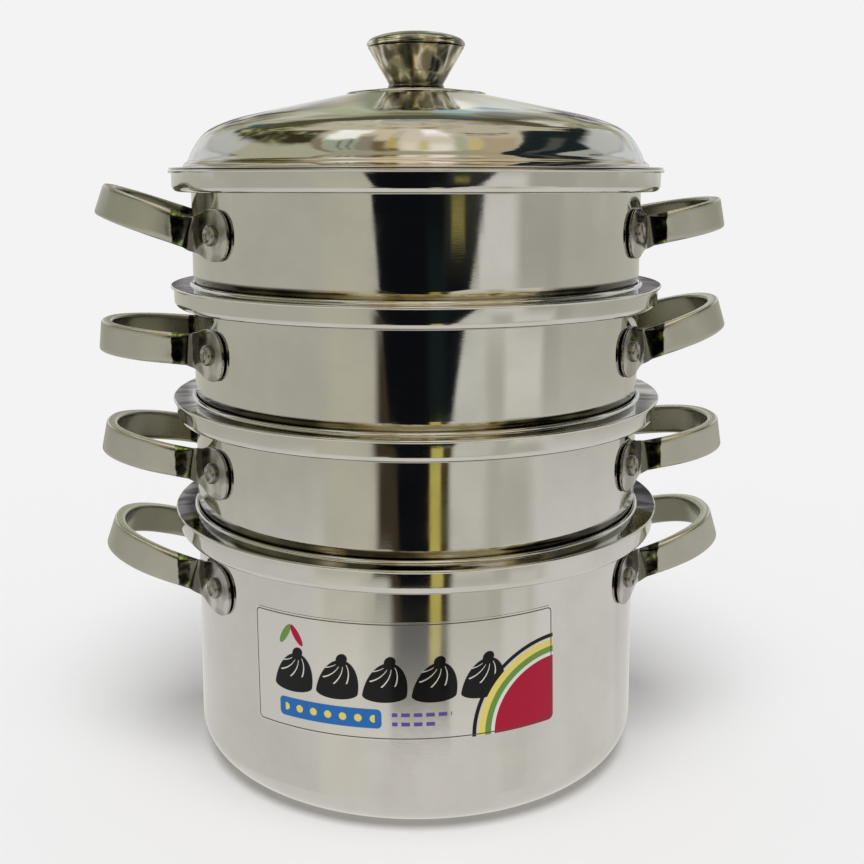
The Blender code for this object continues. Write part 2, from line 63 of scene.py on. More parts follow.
# Vessels. The rim's radius and every level come from the frame
SHEET = 0.7 * MM
CROWN_RADIUS = 1.2 * MM
RIM_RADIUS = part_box("base_pot")[1].x
RIM_WIDTH = 10.9 * MM
BODY_RADIUS = RIM_RADIUS - RIM_WIDTH
WALL_INSIDE = BODY_RADIUS - SHEET
BASE_CORNER_RADIUS = 16.0 * MM
TIER_CORNER_RADIUS = 14.0 * MM
RIM_EDGE = 1.5 * MM
BASE_RIM_HEIGHT = 11.8 * MM
BASE_SKIRT_CORNER = 3.6 * MM
TIER_RIM_HEIGHT = 10.4 * MM
TIER_SKIRT_CORNER = 3.0 * MM
SKIRT_INSET = 1.6 * MM
# The skirt bulges: its face turns up by the first angle at its top and down by the second over the corner
SKIRT_TURNS = (math.radians(0.8), math.radians(2.4))
SKIRT_RETURN_GAP = 1.0 * MM
TURN_SEGMENTS = 192
ON_AXIS = 0.0001 * MM
# Spacing of the rings of points that divide a floor
FLOOR_RING = 30.0 * MM
HOLE_RADIUS = 3.2 * MM
HOLE_PITCH = 19.0 * MM
HOLE_RINGS = 4
HOLE_SEGMENTS = 20

# Handles and rivets
HANDLE_DROP = 29.5 * MM
HANDLE_REACH = 47.3 * MM
HANDLE_HALF_SPAN = 36.0 * MM
# How far each loop is bent up in degrees, left and right
HANDLE_TILTS = {"base": (18.5, 16.5), "tier_1": (11.0, 8.5), "tier_2": (5.0, 17.0), "tier_3": (19.0, 10.5)}
# Which way the end of each strap's outer face leans, left and right, from its lower to its upper edge
PINCH_LEANS = {"base": (-1.5, -1.0), "tier_1": (1.0, -1.2), "tier_2": (0.4, -0.8), "tier_3": (2.4, -1.0)}
STRAP_HEIGHT = 15.0 * MM
STRAP_THICKNESS = 5.4 * MM
STRAP_ROOT_BEND = 5.0 * MM
STRAP_EDGE = 1.3 * MM
ROOT_EDGE = 2.4 * MM
# The loop's plan is a squared ellipse. 1 would make it half an ellipse
LOOP_ROUNDING = 0.86
LOOP_STEPS = 56
# Past the root, the strap's outer face comes off the flat ear from the first reach and is full at the second
PINCH = (3.0 * MM, 10.0 * MM)
PINCH_BULGE = 1.8 * MM
EAR_SEAT = BODY_RADIUS + 0.3 * MM
EAR_HEIGHT = 23.6 * MM
EAR_THICKNESS = 1.4 * MM
EAR_EDGE = 0.5 * MM
EAR_TIP = 15.0 * MM
EAR_NECK = 0.74
# How far the ear's tip is bent back to the wall
EAR_TIP_BEND = 0.55 * MM
EAR_STEPS = 16
RIVET_ANGLE = math.radians(28.5)
RIVET_RADIUS = 5.0 * MM
RIVET_HEIGHT = 2.4 * MM
# Shares of the radius and of the height along the rivet's grooved head
RIVET_HEAD = (
    (0.0, 0.84), (0.2, 0.83), (0.36, 0.76), (0.44, 0.62), (0.5, 0.56), (0.57, 0.7), (0.66, 0.98),
    (0.74, 1.0), (0.84, 0.9), (0.93, 0.66), (0.98, 0.36), (1.0, 0.0),
)
RIVET_TAIL_RADIUS = 4.2 * MM
RIVET_TAIL_HEIGHT = 1.4 * MM
TIER_TURNS = {"base": 0.0, "tier_1": 0.0, "tier_2": math.radians(-0.9), "tier_3": math.radians(2.3)}
FACE_STEPS = 10
CORNER_STEPS = 4

# Label
LABEL_ARC = 142.0 * MM
LABEL_HEIGHT = 53.2 * MM
LABEL_CORNER = 2.6 * MM
LABEL_CENTRE_HEIGHT = 69.5 * MM
LABEL_ANGLE = math.radians(-7.8)
LABEL_TILT = math.radians(1.3)
LABEL_LIFT = 0.05 * MM
LABEL_THICKNESS = 0.2 * MM
LABEL_COLUMNS = 96
LABEL_ROWS = 20

# Lid and knob. Points are (radius, height) in millimetres, over the rim plane or the knob's own foot
LID_GAP = 0.3 * MM
FLANGE_RADIUS = RIM_RADIUS - 0.5 * MM
LID_FOOT = [(114.8, 1.2), (114.5, 2.2), (113.9, 3.0), (113.1, 3.5), (112.5, 3.95), (112.15, 4.5)]
LID_SIDE = [(111.8, 5.2), (110.95, 7.6), (109.65, 10.1), (108.25, 12.4), (106.95, 14.3)]
LID_DOME = [
    (105.8, 15.75), (103.3, 18.1), (98.0, 21.2), (88.0, 24.8), (71.0, 28.9), (52.0, 33.1), (36.2, 36.5),
]
LID_CENTRE = [
    (35.2, 36.9), (34.4, 37.6), (33.4, 37.85), (28.0, 38.2), (23.6, 38.5), (22.9, 38.9), (22.3, 39.2),
]
LID_TOP = [(13.0, 39.5), (2.7, 39.55)]
CUP_FOOT = [(2.7, 0.0), (12.8, 0.0), (13.5, 0.25), (14.0, 0.8), (13.9, 1.4), (13.5, 1.9), (13.6, 2.4)]
CUP_MOUTH = (23.3, 19.2)
CAP_HEIGHT = 6.6
CAP_RADII = (3, 6, 9, 12, 15, 18, 20, 21.5, 22.6, 23.3)
KNOB_SEGMENTS = 96

# Finishes, and the painted shade, highlights and reflections on them. Colours are linear, and paints are
# (noise level from which a colour starts, colour)
STEEL_TONE = (0.62, 0.612, 0.58)
RIVET_TONE = (0.33, 0.32, 0.295)
KNOB_TONE = (0.50, 0.48, 0.42)
POLISH = 0.035
RIVET_ROUGHNESS = 0.28
KNOB_ROUGHNESS = 0.11
# Noise scales in each metre
RING_SCALE = 2600.0
SMUDGE_SCALE = 38.0
SHEET_SCALE = 14.0
STREAK_SCALE = 3200.0
CLOUD_SCALE = 90.0
WANDER_SCALE = 200.0
BLACK_SCALE = 230.0
EAR_SCALE = 75.0
# Depths of the sheet's waves, of the rings left by the lathe and of the strap's streaks
SHEET_WAVE = 0.0002
RING_DEPTH = 0.000004
STREAK_DEPTH = 0.000006
# Radii from the pot's axis: the fold's painted shade begins and deepens, and the strap begins, over these
# stretches
FOLD_START = (113.9 * MM, 115.0 * MM)
FOLD_DEEP = (117.5 * MM, 119.0 * MM)
STRAP_START = (123.5 * MM, 124.3 * MM)
FOLD_RAGGED = 4.0 * MM
STRAP_ROUGHNESS = 0.19
EAR_ROUGHNESS = 0.10
# The strap's face is pillowed, so it mirrors lower down than a flat face
STRAP_LEAN = -0.22
STRAP_TONES = ((0.44, 0.435, 0.375), (0.37, 0.375, 0.315))
# Painted shade on the loop's inner face, which faces the pot
LOOP_INSIDE_SHADE = (0.30, 0.30, 0.235)
# The painted highlight along the strap's upper edge, by how far its face turns up
STRAP_CREST_HIGHLIGHT = (0.45, 0.85)
CREST_HIGHLIGHT_TONE = (0.74, 0.72, 0.64)
# Painted shade in the fold between ear and strap: grey, then near-black with painted green glints
FOLD_SHADE_GREY = (0.16, 0.155, 0.13)
FOLD_SHADE_AND_GLINTS = (
    (0.40, (0.015, 0.016, 0.012)), (0.54, (0.06, 0.055, 0.04)), (0.62, (0.12, 0.12, 0.06)),
    (0.70, (0.28, 0.42, 0.12)),
)
EAR_TONES = ((0.36, (0.17, 0.16, 0.14)), (0.50, (0.33, 0.32, 0.30)), (0.64, (0.56, 0.55, 0.51)))
# Painted shade in a tier's lower corner, all round, with painted gold and cream reflections at its front
SEAT_SIDE_SHADE = ((0.38, (0.05, 0.045, 0.035)), (0.50, (0.10, 0.09, 0.07)), (0.60, (0.16, 0.155, 0.11)))
SEAT_FRONT_SHADE_AND_REFLECTION = ((0.38, (0.08, 0.07, 0.05)), (0.46, (0.36, 0.30, 0.17)), (0.54, (0.60, 0.56, 0.46)))
# Painted shade and painted reflections, in strokes at the left and right ends of a rim's flat
RIM_SHADE_AND_REFLECTION_STROKES = ((0.38, (0.08, 0.075, 0.07)), (0.47, (0.22, 0.215, 0.21)), (0.54, (0.62, 0.61, 0.60)))
# Radii of the lid's crease and of the bead at its foot, and how much of each the painted reflections cover
LID_CREASE = (102.5 * MM, 107.0 * MM)
CREASE_SHARE = 0.2
LID_BEAD = (112.3 * MM, 115.0 * MM)
BEAD_SHARE = 0.85
# Painted reflections on the lid's crease and on its bead
CREASE_REFLECTION_SPECKS = ((0.34, (0.03, 0.028, 0.02)), (0.44, (0.10, 0.085, 0.04)), (0.50, (0.40, 0.31, 0.12)))
BEAD_REFLECTION_LINES = (
    (0.34, (0.10, 0.085, 0.07)), (0.44, (0.36, 0.30, 0.24)), (0.52, (0.64, 0.60, 0.54)),
    (0.62, (0.78, 0.70, 0.66)),
)
# Painted reflections in streaks on the knob, painted shade at its foot and a painted teal reflection on its
# cap
KNOB_REFLECTION_STREAKS = (
    (0.36, (0.05, 0.06, 0.045)), (0.44, (0.17, 0.155, 0.10)), (0.50, (0.47, 0.43, 0.29)),
    (0.56, (0.92, 0.86, 0.74)), (0.64, (0.34, 0.33, 0.28)),
)
KNOB_FOOT_SHADE = (0.06, 0.055, 0.04)
CAP_TEAL_REFLECTION = (0.13, 0.17, 0.165)

# The label's print, in millimetres
FILM_TONE = (0.66, 0.65, 0.61)
INK_EDGE = 0.15
CRIMSON = (0.42, 0.005, 0.035)
GREEN = (0.15, 0.30, 0.06)
YELLOW = (0.80, 0.66, 0.16)
WHITE = (0.78, 0.76, 0.70)
BLACK = (0.006, 0.006, 0.007)
BLUE = (0.02, 0.15, 0.45)
PURPLE = (0.11, 0.08, 0.30)
BORDER_INK = (0.07, 0.06, 0.05)
DUMPLING_PITCH = 21.5
DUMPLING_COUNT = 5
DUMPLING_ROW = (64.0, 20.5)
KNOT_HEIGHT = 15.0
CORNER_RINGS = ((30.0, 31.6, WHITE), (31.6, 34.4, GREEN), (34.4, 37.4, YELLOW), (38.4, 40.2, BLACK))
BAR_CENTRE = (38.0, 9.8)
DASH_START = 67.0
LEAF_HEIGHT = 43.5

# Stage
BACKGROUND = (0.900, 0.896, 0.900)
FLOOR_SIZE = 60.0
FLOOR_LEVEL = -0.4 * MM
# Share of the light that comes from all round. The rest is the key lamp's
WORLD_SHARE = 0.4
KEY_ELEVATION = math.radians(72.0)
KEY_SOFTNESS = math.radians(38.0)
ROOM_TONE = (163, 161, 147)
# How the lid's side bows a level line of the room, in degrees per square degree, and spreads it
# over its middle
SIDE_BOW = 0.002
SIDE_SPREAD = 0.016
SIDE_MIDDLE = 63.0


def rim_level(node):
    """Height of a vessel's rim plane: its crown stands one crown radius over it."""
    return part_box(node)[1].z - CROWN_RADIUS


def arc(centre, radius, start, end, steps):
    """Points on an arc with both ends. Angles are in degrees."""
    points = []
    for step in range(steps + 1):
        angle = math.radians(start + (end - start) * step / steps)
        points.append((centre[0] + radius * math.cos(angle), centre[1] + radius * math.sin(angle)))
    return points


def smooth_line(points, steps):
    """A Catmull-Rom curve through 2D points, both ends kept."""
    first = tuple(2.0 * a - b for a, b in zip(points[0], points[1]))
    last = tuple(2.0 * a - b for a, b in zip(points[-1], points[-2]))
    chain = [first] + list(points) + [last]
    line = []
    for before, start, end, after in zip(chain, chain[1:], chain[2:], chain[3:]):
        for step in range(steps):
            t = step / steps
            spot = []
            for a, b, c, d in zip(before, start, end, after):
                cubic = 3.0 * b - a - 3.0 * c + d
                square = 2.0 * a - 5.0 * b + 4.0 * c - d
                spot.append(0.5 * (cubic * t ** 3 + square * t ** 2 + (c - a) * t + 2.0 * b))
            line.append(tuple(spot))
    line.append(tuple(points[-1]))
    return line


def mesh_object(name, bm, smooth_angle=30.0):
    bmesh.ops.recalc_face_normals(bm, faces=bm.faces)
    mesh = bpy.data.meshes.new(name)
    bm.to_mesh(mesh)
    bm.free()
    mesh.shade_smooth()
    mesh.set_sharp_from_angle(angle=math.radians(smooth_angle))
    obj = bpy.data.objects.new(name, mesh)
    bpy.context.scene.collection.objects.link(obj)
    return obj


def bridge(bm, first, second):
    """Joins two rings of points with faces. A ring may be a single point."""
    count = max(len(first), len(second))
    for index in range(count):
        following = (index + 1) % count
        corners = [
            first[index % len(first)],
            first[following % len(first)],
            second[following % len(second)],
            second[index % len(second)],
        ]
        bm.faces.new(list(dict.fromkeys(corners)))


def map_points(bm, uv, places):
    """Gives every corner of the faces its point's place on the map."""
    for face in bm.faces:
        for loop in face.loops:
            loop[uv].uv = places[loop.vert]


def lathe(name, section, closed=True, segments=TURN_SEGMENTS):
    """Turns a half section of (r, z) points about Z. Unless closed, it starts and ends on the axis."""
    bm = bmesh.new()
    rings = []
    for r, z in section:
        if r < ON_AXIS:
            rings.append([bm.verts.new((0.0, 0.0, z))])
            continue
        ring = []
        for index in range(segments):
            angle = math.tau * index / segments
            ring.append(bm.verts.new((r * math.cos(angle), r * math.sin(angle), z)))
        rings.append(ring)
    if closed:
        rings.append(rings[0])
    for first, second in zip(rings, rings[1:]):
        bridge(bm, first, second)
    return mesh_object(name, bm)


def weighted_normals(obj):
    """Flat stretches keep true normals beside their small fillets, so that they mirror without a bend."""
    modifier = obj.modifiers.new("weighted normals", "WEIGHTED_NORMAL")
    modifier.keep_sharp = True
    modifier.weight = 60


def stand_for(obj, node, body, material):
    obj.data.materials.append(material)
    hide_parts(node)
    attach(obj, body)


# Shader helpers


def sign(operation):
    """A method for one of Python's own signs, which adds a math node."""
    return lambda first, second=0.0: first.shader.math(operation, first, second)


class Value:
    """A number in a node tree. Python's own signs join it to others through math nodes."""

    def __init__(self, shader, socket):
        self.shader = shader
        self.socket = socket

    def __rsub__(self, other):
        return self.shader.math("SUBTRACT", other, self)

    __add__ = sign("ADD")
    __sub__ = sign("SUBTRACT")
    __mul__ = sign("MULTIPLY")
    __truediv__ = sign("DIVIDE")
    __pow__ = sign("POWER")
    __abs__ = sign("ABSOLUTE")


class Shader:
    """Adds and joins nodes in one node tree."""

    def __init__(self, tree):
        self.tree = tree

    def node(self, kind, **settings):
        made = self.tree.nodes.new(kind)
        for name, value in settings.items():
            setattr(made, name, value)
        return made

    def join(self, value, socket):
        """Links a value of this tree to the socket, or sets the socket to a number, a place or a colour."""
        if isinstance(value, Value):
            value = value.socket
        if isinstance(value, bpy.types.NodeSocket):
            self.tree.links.new(value, socket)
        elif socket.type == "RGBA":
            socket.default_value = (*value, 1.0)
        else:
            socket.default_value = value

    def feed(self, node, values):
        for name, value in values.items():
            self.join(value, node.inputs[name])

    def fill(self, node, values):
        """Joins the values to the node's inputs in their order."""
        for value, socket in zip(values, node.inputs):
            self.join(value, socket)

    def math(self, operation, first, second=0.0, third=0.0):
        made = self.node("ShaderNodeMath", operation=operation)
        self.fill(made, (first, second, third))
        return Value(self, made.outputs[0])

    def least(self, first, second):
        return self.math("MINIMUM", first, second)

    def vector(self, operation, first, second=(0.0, 0.0, 0.0)):
        made = self.node("ShaderNodeVectorMath", operation=operation)
        self.fill(made, (first, second))
        if operation in ("LENGTH", "DISTANCE", "DOT_PRODUCT"):
            return Value(self, made.outputs["Value"])
        return made.outputs["Vector"]

    def combine(self, x, y, z=0.0):
        made = self.node("ShaderNodeCombineXYZ")
        self.fill(made, (x, y, z))
        return made.outputs[0]

    def separate(self, vector):
        made = self.node("ShaderNodeSeparateXYZ")
        self.join(vector, made.inputs[0])
        return [Value(self, socket) for socket in made.outputs]

    def coordinates(self, kind="Object"):
        return self.node("ShaderNodeTexCoord").outputs[kind]

    def polar(self, place):
        """Radius from Z, angle round it, and height."""
        x, y, z = self.separate(place)
        return (x ** 2.0 + y ** 2.0) ** 0.5, self.math("ARCTAN2", y, x), z

    def ease(self, value, low, high):
        """0 under low and 1 over high, eased between. low may be over high."""
        made = self.node("ShaderNodeMapRange", interpolation_type="SMOOTHSTEP")
        self.fill(made, (value, low, high, 0.0, 1.0))
        return Value(self, made.outputs[0])

    def between(self, value, low, high, soft):
        """1 from low to high, eased over soft at both ends."""
        return self.ease(value, low - soft, low + soft) * self.ease(value, high + soft, high - soft)

    def noise(self, vector, scale, detail=2.0, roughness=0.5):
        made = self.node("ShaderNodeTexNoise")
        self.feed(made, {"Vector": vector, "Scale": scale, "Detail": detail, "Roughness": roughness})
        return Value(self, made.outputs["Fac"])

    def mix(self, share, first, second):
        made = self.node("ShaderNodeMix", data_type="RGBA")
        for index, value in ((0, share), (6, first), (7, second)):
            self.join(value, made.inputs[index])
        return made.outputs[2]

    def ramp(self, value, paints):
        """Blends the paints, which are (value, colour) in rising order."""
        made = self.node("ShaderNodeValToRGB")
        steps = made.color_ramp
        steps.interpolation = "EASE"
        for place, paint in paints[1:-1]:
            steps.elements.new(place).color = (*paint, 1.0)
        for index in (0, -1):
            place, paint = paints[index]
            steps.elements[index].position = place
            steps.elements[index].color = (*paint, 1.0)
        self.join(value, made.inputs[0])
        return made.outputs[0]

    def bump(self, height, distance, normal=None):
        made = self.node("ShaderNodeBump")
        self.feed(made, {"Distance": distance, "Strength": 1.0, "Height": height})
        if normal:
            self.join(normal, made.inputs["Normal"])
        return made.outputs[0]


def new_material(name):
    """A material with the helper for its node tree and its surface node."""
    material = bpy.data.materials.new(name)
    material.use_nodes = True
    tree = material.node_tree
    return material, Shader(tree), tree.nodes["Principled BSDF"]


# Steel


def steel_material(name, tone, roughness, mark=None):
    """Polished stainless steel turned on a lathe: fine rings round Z, faint smudges and an uneven sheet.

    mark takes (shader, place, base colour) and returns the base colour with its own marks on it.
    """
    material, shader, surface = new_material(name)
    place = shader.coordinates()
    radius, angle, z = shader.polar(place)
    rings = shader.noise(shader.combine(angle * 0.02, radius, z), RING_SCALE, 1.0)
    wear = shader.ease(shader.noise(place, SMUDGE_SCALE, 4.0, 0.6), 0.35, 0.75)
    base = shader.mix(wear, tone, [channel * 0.93 for channel in tone])
    if mark:
        base = mark(shader, place, base)
    waved = shader.bump(shader.noise(place, SHEET_SCALE, 1.0), SHEET_WAVE)
    shader.feed(surface, {
        "Metallic": 1.0,
        "Roughness": wear * 0.045 + rings * 0.03 + roughness,
        "Base Color": base,
        "Normal": shader.bump(rings, RING_DEPTH, waved),
    })
    return material


def handle_material(name):
    """Satin steel, polished along the strap, with glossier pressed ears. Painted near-black shade with
    painted green glints fills the fold between, the loop's inner face has painted shade, and the strap's
    upper edge a painted highlight.
    """
    material, shader, surface = new_material(name)
    along, high, _ = shader.separate(shader.node("ShaderNodeUVMap", uv_map="strap").outputs[0])
    flat_place = shader.combine(along, high)
    streaks = shader.noise(shader.combine(along * 0.03, high), STREAK_SCALE, 2.0)
    cloud = shader.noise(flat_place, CLOUD_SCALE, 3.0, 0.6)
    wander = shader.noise(flat_place, WANDER_SCALE) - 0.5
    place = shader.coordinates()
    normal = shader.node("ShaderNodeNewGeometry").outputs["Normal"]
    radius, _, _ = shader.polar(place)
    x, y, _ = shader.separate(place)
    ragged = wander * FOLD_RAGGED + radius
    on_strap = shader.ease(wander * (0.5 * FOLD_RAGGED) + radius, *STRAP_START)
    outward = shader.vector("DOT_PRODUCT", shader.combine(x, y), normal)
    faces_out = shader.ease(outward, -4.0 * MM, 4.0 * MM)
    faces_up = shader.ease(shader.separate(normal)[2], *STRAP_CREST_HIGHLIGHT)
    # Painted shade in the fold: grey where it begins, near-black with painted green glints where it deepens
    black = shader.ramp(shader.noise(flat_place, BLACK_SCALE, 1.0), FOLD_SHADE_AND_GLINTS)
    fold = shader.mix(shader.ease(ragged, *FOLD_DEEP), FOLD_SHADE_GREY, black)
    ear = shader.ramp(shader.noise(flat_place, EAR_SCALE, 1.0), EAR_TONES)
    pressed_tone = shader.mix(shader.ease(ragged, *FOLD_START), ear, fold)
    strap = shader.mix(cloud, *STRAP_TONES)
    # Painted shade on the inner face of the loop
    strap = shader.mix(faces_out, LOOP_INSIDE_SHADE, strap)
    # Painted highlight along the strap's upper edge, where its face turns up
    strap = shader.mix(faces_up, strap, CREST_HIGHLIGHT_TONE)
    satin = cloud * 0.05 + (streaks * 0.08 + STRAP_ROUGHNESS)
    pressed = cloud * 0.08 + EAR_ROUGHNESS
    leaning = shader.vector("ADD", normal, shader.combine(0.0, 0.0, on_strap * faces_out * STRAP_LEAN))
    shader.feed(surface, {
        "Metallic": 1.0,
        "Roughness": on_strap * (satin - pressed) + pressed,
        "Base Color": shader.mix(on_strap, pressed_tone, strap),
        "Normal": shader.bump(streaks, STREAK_DEPTH, shader.vector("NORMALIZE", leaning)),
    })
    return material


def vessel_material(node):
    """A vessel's steel. The ends of its rim's flat carry painted shade and painted reflections in strokes,
    and a tier's lower corner carries painted shade, with painted gold and cream reflections at its front.
    """
    corner_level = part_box(node)[0].z + TIER_CORNER_RADIUS
    level = rim_level(node)

    def mark(shader, place, base):
        radius, angle, z = shader.polar(place)
        x, y, _ = shader.separate(place)
        # Painted shade and reflections in strokes at both ends of the rim's flat
        strokes = shader.noise(shader.combine(angle, radius * 3.0), 9.0, 2.0)
        flat = shader.ease(abs(x) / radius, 0.86, 0.95)
        flat *= shader.between(z, level - 0.3 * MM, level + 0.3 * MM, 0.1 * MM)
        flat *= shader.ease(radius, BODY_RADIUS + 1.6 * MM, BODY_RADIUS + 2.4 * MM)
        base = shader.mix(flat, base, shader.ramp(strokes, RIM_SHADE_AND_REFLECTION_STROKES))
        if node == "base_pot":
            return base
        # Painted shade in the tier's lower corner, with painted gold and cream reflections at the front
        across = radius - (BODY_RADIUS - TIER_CORNER_RADIUS)
        rise = z - corner_level
        from_centre = shader.vector("LENGTH", shader.combine(across, rise))
        seat_shade = shader.ease(from_centre, TIER_CORNER_RADIUS - 0.5 * MM, TIER_CORNER_RADIUS - 0.2 * MM)
        seat_shade *= shader.between(rise, -7.5 * MM, -0.9 * MM, 0.6 * MM)
        seat_shade *= shader.ease(across, 2.0 * MM, 4.0 * MM)
        spots = shader.noise(place, 26.0, 2.0)
        to_side = shader.ease(y / radius, -0.93, -0.86)
        tones = shader.mix(to_side, shader.ramp(spots, SEAT_FRONT_SHADE_AND_REFLECTION), shader.ramp(spots, SEAT_SIDE_SHADE))
        return shader.mix(seat_shade, base, tones)

    return steel_material(node + "_steel", STEEL_TONE, POLISH, mark)


def mark_lid(shader, place, base):
    """Painted reflections: dark and gold specks along the crease round the dome, and dark and light lines on
    the bead at the foot.
    """
    radius, angle, z = shader.polar(place)
    # Painted reflections in dark and gold specks along the crease
    specks = shader.noise(shader.combine(angle * (26.0 * MM), radius, z), 520.0, 2.0, 0.6)
    edge = shader.noise(place, 60.0, 2.0) * (5.0 * MM) + radius
    crease = shader.between(edge, *LID_CREASE, 0.8 * MM) * CREASE_SHARE * shader.ease(specks, 0.56, 0.48)
    base = shader.mix(crease, base, shader.ramp(specks, CREASE_REFLECTION_SPECKS))
    # Painted reflections in dark and light lines round the bead
    lines = shader.noise(shader.combine(angle * (2.0 * MM), radius, z), 1300.0, 2.0, 0.7)
    bead = shader.between(radius, *LID_BEAD, 0.15 * MM) * BEAD_SHARE
    return shader.mix(bead, base, shader.ramp(lines, BEAD_REFLECTION_LINES))


def mark_knob(shader, place, base):
    """Painted reflections in upright dark, gold and cream streaks, painted shade at the knob's foot, and a
    painted teal reflection on the crown.
    """
    x, y, z = shader.separate(place)
    streaks = shader.noise(shader.combine(x, y, z * 0.22), 92.0, 2.0, 0.55)
    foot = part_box("lid_knob_cup")[0].z
    cap_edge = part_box("lid_knob_cap")[0].z + 1.8 * MM
    # Painted reflections: upright dark, gold and cream streaks, stronger towards the cap
    share = shader.ease(z, cap_edge + 2.6 * MM, cap_edge) * 0.62 + 0.26
    painted = shader.mix(share, base, shader.ramp(streaks, KNOB_REFLECTION_STREAKS))
    # A painted teal reflection on the cap's crown
    crown = shader.ease(z, cap_edge + 2.0 * MM, cap_edge + 4.0 * MM) * 0.5
    painted = shader.mix(crown, painted, CAP_TEAL_REFLECTION)
    # Painted shade at the knob's foot, where it meets the lid
    dark = shader.ease(z, foot + 4.6 * MM, foot + 2.6 * MM) * 0.75
    return shader.mix(dark, painted, KNOB_FOOT_SHADE)


# Vessels


def rim_section(level, rim_height, skirt_corner):
    """The folded rim, from the inner wall over the crown, the flat and the skirt to the outer wall."""
    underside = level - rim_height
    skirt_top = RIM_RADIUS - SKIRT_INSET
    upper, lower = SKIRT_TURNS
    drop = rim_height - RIM_EDGE - skirt_corner * (1.0 - math.sin(lower))
    bulge = drop / (math.sin(upper) + math.sin(lower))
    return_edge = BODY_RADIUS + SKIRT_RETURN_GAP
    edge_radius = RIM_EDGE / 2.0
    bulge_centre = (skirt_top - bulge * math.cos(upper), level - RIM_EDGE - bulge * math.sin(upper))
    corner_across = bulge_centre[0] + (bulge - skirt_corner) * math.cos(lower)
    corner_centre = (corner_across, underside + skirt_corner)
    outer = arc((WALL_INSIDE + CROWN_RADIUS, level), CROWN_RADIUS, 180.0, 0.0, 12)
    outer += arc((RIM_RADIUS - edge_radius, level - edge_radius), edge_radius, 90.0, -90.0, 8)
    outer += arc(bulge_centre, bulge, math.degrees(upper), -math.degrees(lower), 14)
    outer += arc(corner_centre, skirt_corner, -math.degrees(lower), -90.0, 10)[1:]
    inner = [(return_edge, underside), (return_edge, underside + SHEET)]
    inner += arc(corner_centre, skirt_corner - SHEET, -90.0, 0.0, 6)
    inner += [(skirt_top - SHEET, level - RIM_EDGE), (BODY_RADIUS, level - SHEET)]
    return outer + inner


def vessel_section(floor, level, corner_radius, rim_height, skirt_corner):
    centre = (BODY_RADIUS - corner_radius, floor + corner_radius)
    section = [(0.0, floor + SHEET)]
    section += [(FLOOR_RING * step, floor + SHEET) for step in (1, 2, 3) if FLOOR_RING * step < centre[0]]
    section += arc(centre, corner_radius - SHEET, -90.0, 0.0, 14)
    section += rim_section(level, rim_height, skirt_corner)
    section += arc(centre, corner_radius, 0.0, -90.0, 14)
    section.append((0.0, floor))
    return section


def hole_cutter(name, floor):
    """Prisms through a tier's floor: one in the middle and rings of six, twelve and eighteen round it."""
    bm = bmesh.new()
    places = [(0.0, 0.0)]
    for ring in range(1, HOLE_RINGS):
        for index in range(6 * ring):
            angle = math.tau * index / (6 * ring)
            places.append((ring * HOLE_PITCH * math.cos(angle), ring * HOLE_PITCH * math.sin(angle)))
    for x, y in places:
        bmesh.ops.create_cone(
            bm, cap_ends=True, segments=HOLE_SEGMENTS, radius1=HOLE_RADIUS, radius2=HOLE_RADIUS,
            depth=4.0 * SHEET, matrix=Matrix.Translation((x, y, floor + SHEET / 2.0)),
        )
    return mesh_object(name, bm)


def cut_and_apply(obj, cutter):
    """Cuts obj with the cutter, keeps the result as its mesh and removes the cutter."""
    modifier = obj.modifiers.new("holes", "BOOLEAN")
    modifier.operation = "DIFFERENCE"
    modifier.object = cutter
    graph = bpy.context.evaluated_depsgraph_get()
    mesh = bpy.data.meshes.new_from_object(obj.evaluated_get(graph))
    obj.modifiers.clear()
    obj.data = mesh
    bpy.data.objects.remove(cutter)
    mesh.shade_smooth()
    mesh.set_sharp_from_angle(angle=math.radians(30.0))


def make_vessel(node, body, material):
    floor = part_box(node)[0].z
    sizes = (TIER_CORNER_RADIUS, TIER_RIM_HEIGHT, TIER_SKIRT_CORNER)
    if node == "base_pot":
        sizes = (BASE_CORNER_RADIUS, BASE_RIM_HEIGHT, BASE_SKIRT_CORNER)
    vessel = lathe(node + "_shell", vessel_section(floor, rim_level(node), *sizes), closed=False)
    if node != "base_pot":
        cut_and_apply(vessel, hole_cutter(node + "_holes", floor))
    weighted_normals(vessel)
    stand_for(vessel, node, body, material)


# Handles


def filleted(before, corner, after, radius, steps):
    """The points of a plane bend that rounds this corner."""
    back = (before - corner).normalized()
    ahead = (after - corner).normalized()
    half = back.angle(ahead) / 2.0
    centre = corner + (back + ahead).normalized() * (radius / math.sin(half))
    start = corner + back * (radius / math.tan(half)) - centre
    sweep = math.pi - 2.0 * half
    turn = 1.0 if back.cross(ahead) < 0.0 else -1.0
    bend = []
    for step in range(steps + 1):
        angle = turn * sweep * step / steps
        spun = Vector((
            start.x * math.cos(angle) - start.y * math.sin(angle),
            start.x * math.sin(angle) + start.y * math.cos(angle),
        ))
        bend.append(centre + spun)
    return bend


def ease_between(value, low, high):
    share = min(1.0, max(0.0, (value - low) / (high - low)))
    return share * share * (3.0 - 2.0 * share)


